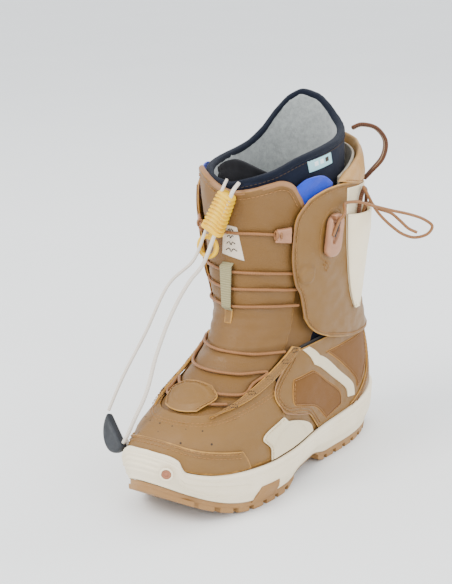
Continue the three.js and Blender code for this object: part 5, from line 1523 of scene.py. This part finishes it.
def upper_guides():
    for side, sign in SIDES:
        sides = on_side({"bottom": [(37, 0.815), (48, 0.812)], "top": [(38, 0.858), (48, 0.864)],
                         "left": [(37, 0.815), (38, 0.858)], "right": [(48, 0.812), (48, 0.864)]}, sign)

        def saddle(theta, t, u, v):
            return 0.7 * np.sin(math.pi * v) - 1.0 * np.exp(-((v - 0.5) / 0.13) ** 2) * (1 - 0.6 * u)

        piece = panel(f"upper_guide_plate_{side}", sides, 0.6, 2.9, pitch=0.6, rim=0.8, rough=0.03, seed=50,
                      shape=saddle)
        dress(piece, "lock_plastic", "cuff")
        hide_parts(f"upper_guide_{side}")
        for k, theta in enumerate((37.6, 40.2)):
            a = np.linspace(-0.4, 5.4, 12)
            ring = skin(sign * (theta + 0.6 * np.cos(a)), 0.838 + 0.014 * np.sin(a), 1.6 + 2.0 * np.cos(a))
            turn, _ = tube(f"upper_guide_lace_turn_{side}_{k}", ring, 0.9, sides=10, step=0.8)
            dress(turn, "lace", "cuff")


def pull_loop():
    line = [skin(np.array([132.0]), np.array([t]), lift)[0] for t, lift in
            ((0.965, 4.6), (0.985, 9), (1.03, 18), (1.085, 20), (1.13, 13), (1.145, 2), (1.135, -5.2))]
    along_foot = unit(skin(134.0, 1.0, 0) - skin(130.0, 1.0, 0))
    piece, _ = tube("pull_loop_webbing", line, 5.2, sides=20, step=1.4, flat=0.3, twist=0.5, up=along_foot)
    dress(piece, "brown_webbing", "cuff")
    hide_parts("pull_loop")
    tan = tube("pull_loop_tan_face", [p + unit(p - np.array([30, 76, 245.0])) * -0.85 for p in line], 3.6,
               sides=14,
               step=1.6, flat=0.12, up=along_foot)[0]
    dress(tan, "tan_webbing", "cuff")


# ------------------------------------------------------------------ liner lock, cords and handles

LOCK_TOP = np.array([1.3, -48.5, 230.0])
LOCK_BOTTOM = np.array([-13.0, -48.5, 199.0])
BORE_X, BORE_Z = 4.2, 1.8
RING = {"drop": 14, "outer": 9.4, "inner": 5.9, "back": -5, "front": -1.6}


def liner_lock_frame():
    axis = unit(LOCK_TOP - LOCK_BOTTOM)
    side = unit(np.cross(axis, (0, -1, 0)))
    matrix = np.eye(4)
    matrix[:3, 0], matrix[:3, 1], matrix[:3, 2] = side, axis, np.cross(side, axis)
    matrix[:3, 3] = LOCK_BOTTOM
    return matrix, float(np.linalg.norm(LOCK_TOP - LOCK_BOTTOM))


def in_lock(side, height):
    return put(liner_lock_frame()[0], (side * BORE_X, height, BORE_Z))


def liner_lock():
    """Yellow ribbed cord lock with a pull ring below it."""
    spot, length = liner_lock_frame()
    steps, sides = 96, 48
    angle = 2 * math.pi * np.arange(sides) / sides
    c, s = np.cos(angle), np.sin(angle)
    rings = []
    for k in range(steps + 1):
        y = length * k / steps
        half = lerp(9.3, 7.4, min(1.0, y / (length - 3)))
        half = half - 1.6 * ease(length - 4, length, y)
        ends = (max(0, 1.2 - y) / 1.2, max(0, y - length + 1.2) / 1.2)
        cap = math.prod(math.sqrt(max(0.02, 1 - part ** 2)) for part in ends)
        x = half * cap * signed_power(c, 0.45)
        depth = 4.9 * cap * signed_power(s, 0.55)
        skew = 2.4 * np.abs(x) / half
        phase = (y + skew - 4.5) / 3.3
        ribbed = ease(3.4, 4.4, y) * (1 - ease(length - 3.6, length - 2.6, y))
        rib = 1.5 * ribbed * ease(-0.3, 0.3, np.cos(2 * math.pi * phase)) - 1.5 * ribbed
        spine = ease(0.5, 1.6, np.abs(x) + 0 * y)
        scale_x = 1 + rib / half * 1.1
        scale_z = 1 + rib * spine / 4.9
        rings.append(np.stack([x * scale_x, np.full(sides, y), depth * scale_z], 1))
    body = ring_mesh("liner_lock_body", [put(spot, r) for r in rings], close=False, caps=True)
    dress(body, "yellow_plastic", "liner_lock")
    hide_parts("liner_lock")
    radius = (RING["outer"] + RING["inner"]) / 2
    thick = (RING["front"] - RING["back"]) / 2
    wall = (RING["outer"] - RING["inner"]) / 2
    turn = 2 * math.pi * np.arange(72) / 72
    rings = []
    for a in 2 * math.pi * np.arange(20) / 20:
        ca, sa = math.cos(a), math.sin(a)
        r = radius + wall * math.copysign(abs(ca) ** 0.7, ca)
        z = (RING["back"] + RING["front"]) / 2 + thick * math.copysign(abs(sa) ** 0.7, sa)
        rings.append(np.stack([r * np.cos(turn), r * np.sin(turn) - RING["drop"], np.full(72, z)], 1))
    ring = ring_mesh("liner_lock_ring", [put(spot, r) for r in rings], close=True)
    dress(ring, "yellow_plastic", "liner_lock")
    neck_rings = []
    for y, half in ((-6.6, 3.4), (-5.0, 3.1), (-3.0, 3.0), (-1.0, 3.4), (1.2, 4.4)):
        flat = rounded(2 * half, 3.2, 1.0, 24)
        neck_rings.append(np.stack([flat[:, 0], np.full(24, y), flat[:, 1] - 3.3], 1))
    neck = ring_mesh("liner_lock_neck", [put(spot, r) for r in neck_rings], close=False, caps=True)
    dress(neck, "yellow_plastic", "liner_lock")


THIN_CORD = [
    (-3.6, -42.6, 238), in_lock(-1, 38), in_lock(-1, 32), in_lock(-1, 10), in_lock(-1, 0), in_lock(-1, -28),
    (-38, -68, 160), (-46, -88, 125), (-54, -106, 94), (-58.5, -118, 70.5),
]
THICK_CORD = [
    (7, -42.8, 236.8), in_lock(1, 39), in_lock(1, 33), in_lock(1, 10), in_lock(1, 0), in_lock(1, -28),
    (-25, -60, 162), (-28, -78, 142), (-29, -97, 114), (-27, -113, 89), (-30, -124, 71), (-34, -126.5, 60),
    (-38, -127, 52.5),
]


def on_pocket(theta, t, lift):
    return skin(theta, t, lift)


def lock_point(x, y, z):
    return put(surface_frame(LOCK_PLACE[0], LOCK_PLACE[1], LOCK_LIFT, -4), (x, y, z))


FREE_LACE = [
    lock_point(-5.2, 0.9, 4.6), lock_point(-0.7, 12, 5.2), lock_point(1.9, 18.6, 8), (57, 26, 215),
    (61, 38, 215),
    (68, 52, 210), (76, 66, 205), (85, 81, 200), (92, 91, 195), (96, 97, 189), (93, 96, 183), (85, 90, 180),
    (78, 83, 183), (72, 77, 189), (67, 71, 196), (64, 65, 203), (62, 60, 210), (61, 55, 217), (59, 51, 224.5),
]
LACE_TAIL = [
    on_pocket(111, 0.85, 6.4), on_pocket(112, 0.885, 7), on_pocket(114, 0.905, 10), (62, 70, 204),
    (70, 77, 200),
    (76, 81, 194), (82, 84, 188), (88, 87, 185),
]
STOW_HANDLE = [
    on_pocket(103, 0.79, 6.4), on_pocket(103, 0.86, 6.4), on_pocket(104, 0.92, 6.6),
    on_pocket(108, 0.948, 6.8),
    on_pocket(113, 0.95, 6.8), on_pocket(118, 0.925, 6.6), on_pocket(120, 0.86, 6.4),
    on_pocket(120, 0.79, 6.2),
]
HANDLE = {"centre": (-49, -120.5, 58), "edge": (0.765, -0.456, -0.455), "face": (-0.4, -0.89, 0.22),
          "radius": 17, "thick": 6}


def centripetal(points, count):
    """The line that the boot's cords follow: a centripetal Catmull-Rom curve through the points."""
    p = np.asarray(points, float)
    first, last = 2 * p[0] - p[1], 2 * p[-1] - p[-2]
    p = np.concatenate([[first], p, [last]])
    pieces = []
    for k in range(len(p) - 3):
        a, b, c, d = p[k:k + 4]
        steps = [np.linalg.norm(q - r) ** 0.5 for q, r in ((b, a), (c, b), (d, c))]
        knots = np.concatenate([[0], np.cumsum(steps)])
        t = np.linspace(knots[1], knots[2], count, endpoint=False)[:, None]
        k0, k1, k2, k3 = knots
        ab = (k1 - t) / (k1 - k0) * a + (t - k0) / (k1 - k0) * b
        bc = (k2 - t) / (k2 - k1) * b + (t - k1) / (k2 - k1) * c
        cd = (k3 - t) / (k3 - k2) * c + (t - k2) / (k3 - k2) * d
        abc = (k2 - t) / (k2 - k0) * ab + (t - k0) / (k2 - k0) * bc
        bcd = (k3 - t) / (k3 - k1) * bc + (t - k1) / (k3 - k1) * cd
        pieces.append((k2 - t) / (k2 - k1) * abc + (t - k1) / (k2 - k1) * bcd)
    return np.concatenate([*pieces, p[-2:-1]])


def even_line(points, step):
    run = np.concatenate([[0], np.cumsum(np.linalg.norm(np.diff(points, axis=0), axis=1))])
    even = np.linspace(0, run[-1], int(round(run[-1] / step)) + 1)
    return np.stack([np.interp(even, run, points[:, k]) for k in range(3)], 1), run[-1]


def cord_piece(name, node, route, radius, material, body="cuff"):
    line, length = even_line(centripetal(route, 24), 1.2)
    rings = tube_rings(line, radius, 12)
    girth = 2 * math.pi * radius * np.arange(13) / 12
    piece = ring_mesh(name, rings, close=False, caps=True, cloth_x=girth,
                      cloth_y=1.2 * np.arange(len(line) + 1))
    dress(piece, material, body)
    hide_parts(node)
    return piece


def hanging_cord(piece):
    """Bakes the cord's placement into its mesh and leaves it unparented; its end reaches the handle, which
    lies on the toe.
    """
    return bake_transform(piece)


def cords():
    handle, knot = liner_handle()
    thin = cord_piece("liner_cord_thin_braid", "liner_cord_thin", THIN_CORD, 1.2, "cream_cord",
                      body=None)
    hanging_cord(thin)
    thick = cord_piece("liner_cord_thick_braid", "liner_cord_thick", THICK_CORD, 1.5, "cream_cord",
                       body=None)
    hanging_cord(thick)
    webbing_line, _ = even_line(centripetal(STOW_HANDLE, 16), 1.4)
    rings = tube_rings(webbing_line, 1.8, 14, flat=0.55)
    loop = ring_mesh("stow_handle_webbing", rings, close=False, caps=True, cloth_x=0.7 * np.arange(15),
                     cloth_y=1.4 * np.arange(len(webbing_line) + 1))
    dress(loop, "brown_webbing", "cuff")
    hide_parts("stow_handle")
    cord_piece("free_lace_cord", "free_lace", FREE_LACE, LACE_R, "lace")
    cord_piece("lace_tail_cord", "lace_tail", LACE_TAIL, LACE_R, "lace")


def liner_handle():
    """Half-moon handle of moulded rubber, softly crowned, with a moulded rim line."""
    radius, thick = HANDLE["radius"], HANDLE["thick"]
    edge, face = unit(np.array(HANDLE["edge"])), unit(np.array(HANDLE["face"]))
    down = unit(np.cross(edge, face))
    spot = np.eye(4)
    spot[:3, 0], spot[:3, 1], spot[:3, 2] = edge, down, np.cross(edge, down)
    spot[:3, 3] = HANDLE["centre"]
    arc = np.linspace(0, math.pi, 60)
    outline = np.concatenate([np.stack([radius * np.cos(arc), radius * np.sin(arc)], 1),
                              np.stack([np.linspace(-radius, radius, 32)[1:-1], np.zeros(30)], 1)])
    middle = np.array([0, 0.42 * radius])
    rings = []
    for z, share in ((-2.4, 0.03), (-2.6, 0.5), (-2.9, 0.8), (-2.85, 0.9), (-2.3, 0.965), (-1.2, 0.995),
                     (0, 1.0),
                     (1.2, 0.995), (2.3, 0.965), (2.85, 0.9), (2.9, 0.8), (2.5, 0.74), (2.55, 0.5),
                     (2.6, 0.03)):
        flat = middle + (outline - middle) * share
        rings.append(np.concatenate([flat, np.full((len(flat), 1), z * thick / 6)], 1))
    piece = ring_mesh("liner_handle_rubber", [put(spot, r) for r in rings], close=False, caps=True)
    dress(piece, "dark_plastic", "foot")
    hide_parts("liner_handle")
    turns = ((10.5, 1.5, 3.2), (13, 3.5, 4.3), (14.5, 0.5, 3.6), (12, -1.5, 3.4), (10.4, 1.0, 4.8),
             (12.4, 4.4, 5.2), (15.2, 2.4, 4.6), (14.2, -1.8, 3.2))
    knot, _ = tube("liner_cord_knot", [put(spot, p) for p in turns], 1.2, sides=10, step=0.9)
    dress(knot, "cream_cord", "foot")
    return piece, knot


# ------------------------------------------------------------------ sole

FOXING_TOP = smooth_table(
    [0, 14, 24, 31, 50, 84, 108, 135, 160, 180, 200, 225, 252, 276, 310, 329, 336, 346, 360],
    [0.115, 0.11, 0.095, 0.055, 0.04, 0.035, 0.05, 0.075, 0.095, 0.1, 0.095, 0.075, 0.05, 0.035, 0.04, 0.055,
     0.095, 0.11, 0.115])
FOXING_OVERLAP = 0.013           # how far the side wall reaches up over the leather's lower edge
LUG_DEPTH = 3.6
LUG_PITCH = 14.5
LUG_LENGTH = 10.0
FIRST_LUG = 138.0


def ground_rise(y):
    return (np.maximum(0, (-y - 70) / 70) ** 2 * TOE_SPRING + np.maximum(0, (y - 105) / 40) ** 2 * HEEL_BEVEL)


def arch_rise(y):
    return ARCH_LIFT * ease(-35, -12, y) * (1 - ease(12, 38, y))


def tread(y):
    return ground_rise(y) + arch_rise(y)


def sole_top(y):
    return OUTSOLE_TOP + ground_rise(y) + 0.6 * arch_rise(y)


def midsole():
    """Cream side wall: rolled top edge, a moulded line, a ribbed toe bumper and a scooped side panel."""
    count = 320
    theta = 360 * np.arange(count) / count
    high_t = FOXING_TOP(theta) + FOXING_OVERLAP
    shares = np.concatenate([[0.0, 0.03, 0.07], np.linspace(0.1, 0.9, 44), [0.93, 0.96, 0.98, 1.0]])
    rings = []
    signed = np.where(theta > 180, theta - 360, theta)
    for share in shares:
        lift = lerp(SOLE_LIFT + 0.7, 4.55, ease(0, 0.42, share)) - 1.6 * ease(0.93, 1.0, share)
        line = 0.5 * np.exp(-((share - 0.8) / 0.022) ** 2) + 0.35 * np.exp(-((share - 0.87) / 0.02) ** 2)
        for side in (1, -1):
            around = side * signed
            window = ease(25, 27, around) * (1 - ease(66, 70, around))
            reach = 0.2 * np.sqrt(np.clip(np.sin((around - 24) / 48 * math.pi), 0, 1))
            scoop = window * ease(reach + 0.035, reach, np.abs(share - 0.42 - 0.002 * (around - 45)))
            line = line + 1.1 * scoop
        bumper = (1 - ease(9, 11, signed)) * ease(-40, -36, signed)
        bumper = bumper * ease(0.26, 0.3, share) * (1 - ease(0.8, 0.84, share))
        line = line + 0.75 * bumper * (0.5 + 0.5 * math.cos(share * 2 * math.pi / 0.17))
        a = skin(theta, 0.0, lift - line)
        b = skin(theta, high_t, lift - line)
        bottom = sole_top(a[:, 1]) + 0.15
        p = lerp(a, b, share)
        p[:, 2] = lerp(bottom, b[:, 2], share)
        rings.append(p)
    for share, lift in ((1.0, 1.0), (0.9, -1.0), (0.3, -1.0)):
        a, b = skin(theta, 0.0, lift), skin(theta, high_t, lift)
        p = lerp(a, b, share)
        p[:, 2] = lerp(sole_top(a[:, 1]) + 0.15, b[:, 2], share)
        rings.append(p)
    piece = ring_mesh("midsole_rubber", rings, close=True)
    dress(piece, "cream_rubber", "foot")
    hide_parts("midsole")
    for side, sign in SIDES:
        sole_wedge(side, sign)


def sole_wedge(side, sign):
    """Block of the brown rubber that climbs the side wall behind the ball of the foot."""
    around = np.linspace(70, 86, 30)
    height = 0.52 * ease(0, 0.28, (around - 70) / 16) * ease(16.4, 15.6, around - 70) + 0.01
    low = skin(sign * around, 0.0, SOLE_LIFT)
    top = skin(sign * around, FOXING_TOP(around % 360), 4.4)
    rings = []
    for share in np.linspace(0, 1, 10):
        rise = height * share
        p = lerp(low, top, rise[:, None])
        p[:, 2] = lerp(sole_top(low[:, 1]) - 1.5, top[:, 2], rise)
        bulge = lerp(SOLE_LIFT + 0.7, 4.55, ease(0, 0.42, rise)) - lerp(SOLE_LIFT, 4.4, rise)
        rings.append((p, bulge))
    normal = unit(skin_normal(sign * around, 0.03) * np.array([1, 1, 0]))
    verts = []
    for out in (0.55, -1.2):
        for p, bulge in rings:
            verts.extend(p + normal * (bulge + out)[:, None])
    rows, columns = len(rings), len(around)
    count = rows * columns
    sheet = grid_faces(rows, columns)[0].tolist()
    faces = [tuple(face) for face in sheet]
    faces += [tuple(count + i for i in reversed(face)) for face in sheet]
    rim = [*range(columns), *range(2 * columns - 1, count, columns),
           *range(count - 2, count - columns - 1, -1), *range(count - 2 * columns, 0, -columns)]
    for a, b in zip(rim, rim[1:] + rim[:1]):
        faces.append((b, a, count + a, count + b))
    wedge = new_object(f"outsole_wedge_{side}", verts, faces)
    if mesh_volume(wedge) < 0:
        wedge.data.flip_normals()
    dress(wedge, "brown_rubber", "foot")


def outline_x(y, side):
    """Half-width of the outsole's outline at y on one side."""
    theta = np.linspace(1, 179, 240) * side
    p = skin(theta, 0.0, SOLE_LIFT - 0.05)
    order = np.argsort(p[:, 1])
    return np.interp(y, p[order, 1], p[order, 0])


def lug(verts, faces, outline):
    """Block with a chamfered foot, closed, appended to a growing mesh; outline runs round it."""
    flat = np.asarray(outline, float)
    middle = flat.mean(0)
    toward = unit(flat - middle)
    base, count = len(verts), len(flat)
    for inward, share in ((0.0, -0.15), (0.0, 0.55), (0.15, 0.85), (0.7, 1.0)):
        p = flat - toward * inward
        low, high = tread(p[:, 1]) + 0.02, tread(p[:, 1]) + LUG_DEPTH
        verts.extend(np.column_stack([p, lerp(high, low, share)]))
    for k in range(3):
        for i in range(count):
            j = (i + 1) % count
            faces.append((base + k * count + i, base + k * count + j,
                          base + (k + 1) * count + j, base + (k + 1) * count + i))
    faces.append(tuple(base + i for i in reversed(range(count))))
    faces.append(tuple(base + 3 * count + i for i in range(count)))


def outsole():
    count = 200
    theta = 360 * np.arange(count) / count
    edge = skin(theta, 0.0, SOLE_LIFT)
    centre = np.array([0.0, 0.0])

    def ring(share, height, out=0.0):
        p = edge[:, :2] * share + centre
        p = p + unit(edge[:, :2]) * out
        return np.column_stack([p, height(p[:, 1])])

    base_low = lambda y: tread(y) + LUG_DEPTH
    rings = [ring(0.02, base_low), ring(0.5, base_low), ring(0.85, base_low), ring(0.985, base_low),
             ring(1.0, lambda y: base_low(y) + 0.5), ring(1.0, lambda y: sole_top(y) - 1.6),
             ring(1.0, lambda y: sole_top(y) - 1.2, -0.35), ring(1.0, lambda y: sole_top(y) - 0.8),
             ring(1.0, lambda y: sole_top(y)), ring(0.9, sole_top), ring(0.02, sole_top)]
    piece = ring_mesh("outsole_rubber", rings, close=False, caps=True)
    dress(piece, "brown_rubber", "foot")
    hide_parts("outsole")
    verts, faces = [], []
    y = FIRST_LUG
    gap = 1.5
    while y - LUG_LENGTH > -133:
        near, far = y - LUG_LENGTH, y
        y -= LUG_PITCH
        if -24 < (near + far) / 2 < 26 or far > 143:
            continue
        ys = np.linspace(near, far, 5)
        for side in (1, -1):
            outer = np.array([outline_x(v, side) for v in ys])
            inner = side * (16.5 + gap + 3.0 * (ys - near) / LUG_LENGTH)
            lug(verts, faces, [*zip(outer - side * 0.2, ys), *zip(inner[::-1], ys[::-1])])
        tip = 3.5
        lug(verts, faces, [(-16.5, near), (0, near - tip), (16.5, near), (16.5, far), (0, far - tip),
                           (-16.5, far)])
    for y in (-18, -6, 6, 18):
        lug(verts, faces, [(-14, y - 3), (14, y - 3), (14, y + 3), (-14, y + 3)])
    toe = np.linspace(-26, 26, 25)
    front = skin(toe, 0.0, SOLE_LIFT - 0.2)[:, :2]
    back = [(x, -126.0 + 3 * (1 - (x / 30) ** 2)) for x in np.linspace(24, -34, 12)]
    lug(verts, faces, [*map(tuple, front), *back])
    lugs = new_object("outsole_lugs", verts, faces, smooth=False)
    if mesh_volume(lugs) < 0:
        lugs.data.flip_normals()
    dress(lugs, "brown_rubber", "foot")


def toe_badge():
    spot = surface_frame(18, 0.07, 6.2)
    sides = 48
    angle = 2 * math.pi * np.arange(sides) / sides
    for name, material, profile in (
            ("toe_badge_rim", "cream_rubber", ((5.0, -1.0), (5.0, 0.5), (4.75, 0.95), (4.3, 1.1), (3.8, 0.9),
                                               (3.6, 0.4), (3.6, -1.0))),
            ("toe_badge_core", "badge", ((3.45, -1.0), (3.45, 0.25), (3.1, 0.5), (2.2, 0.5), (2.0, 0.25),
                                         (1.5, 0.25), (1.3, 0.6), (0.4, 0.75), (0.05, 0.75)))):
        rings = [put(spot, np.stack([r * np.cos(angle), r * np.sin(angle), np.full(sides, z)], 1))
                 for r, z in profile]
        piece = ring_mesh(name, rings, close=name.endswith("rim"), caps=name.endswith("core"))
        dress(piece, material, "foot")
        if name.endswith("rim"):
            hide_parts("toe_badge")


KEPT = {"inner_shell": "shell_lining", "lasting_board": "board", "shank": "shank_steel", "footbed": "fleece",
        "cuff_lining": "shell_lining"}


def dress_kept_nodes():
    """Inner pieces keep their CAD meshes and get a finish."""
    for node, material in KEPT.items():
        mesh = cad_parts[node].data
        mesh.materials.clear()
        mesh.materials.append(MATERIALS[material])


def main():
    make_materials()
    make_camera()
    cords()
    make_stage()
    lace_lines = laces()
    toe_cap()
    vamp()
    vamp_patch()
    quarters()
    eyestays()
    side_patches()
    tongue(lace_lines)
    label_and_keeper()
    liner()
    cuff_flaps()
    backstay()
    collar()
    harness()
    pockets()
    lock_housings()
    upper_guides()
    pull_loop()
    liner_lock()
    midsole()
    outsole()
    toe_badge()
    dress_kept_nodes()


main()
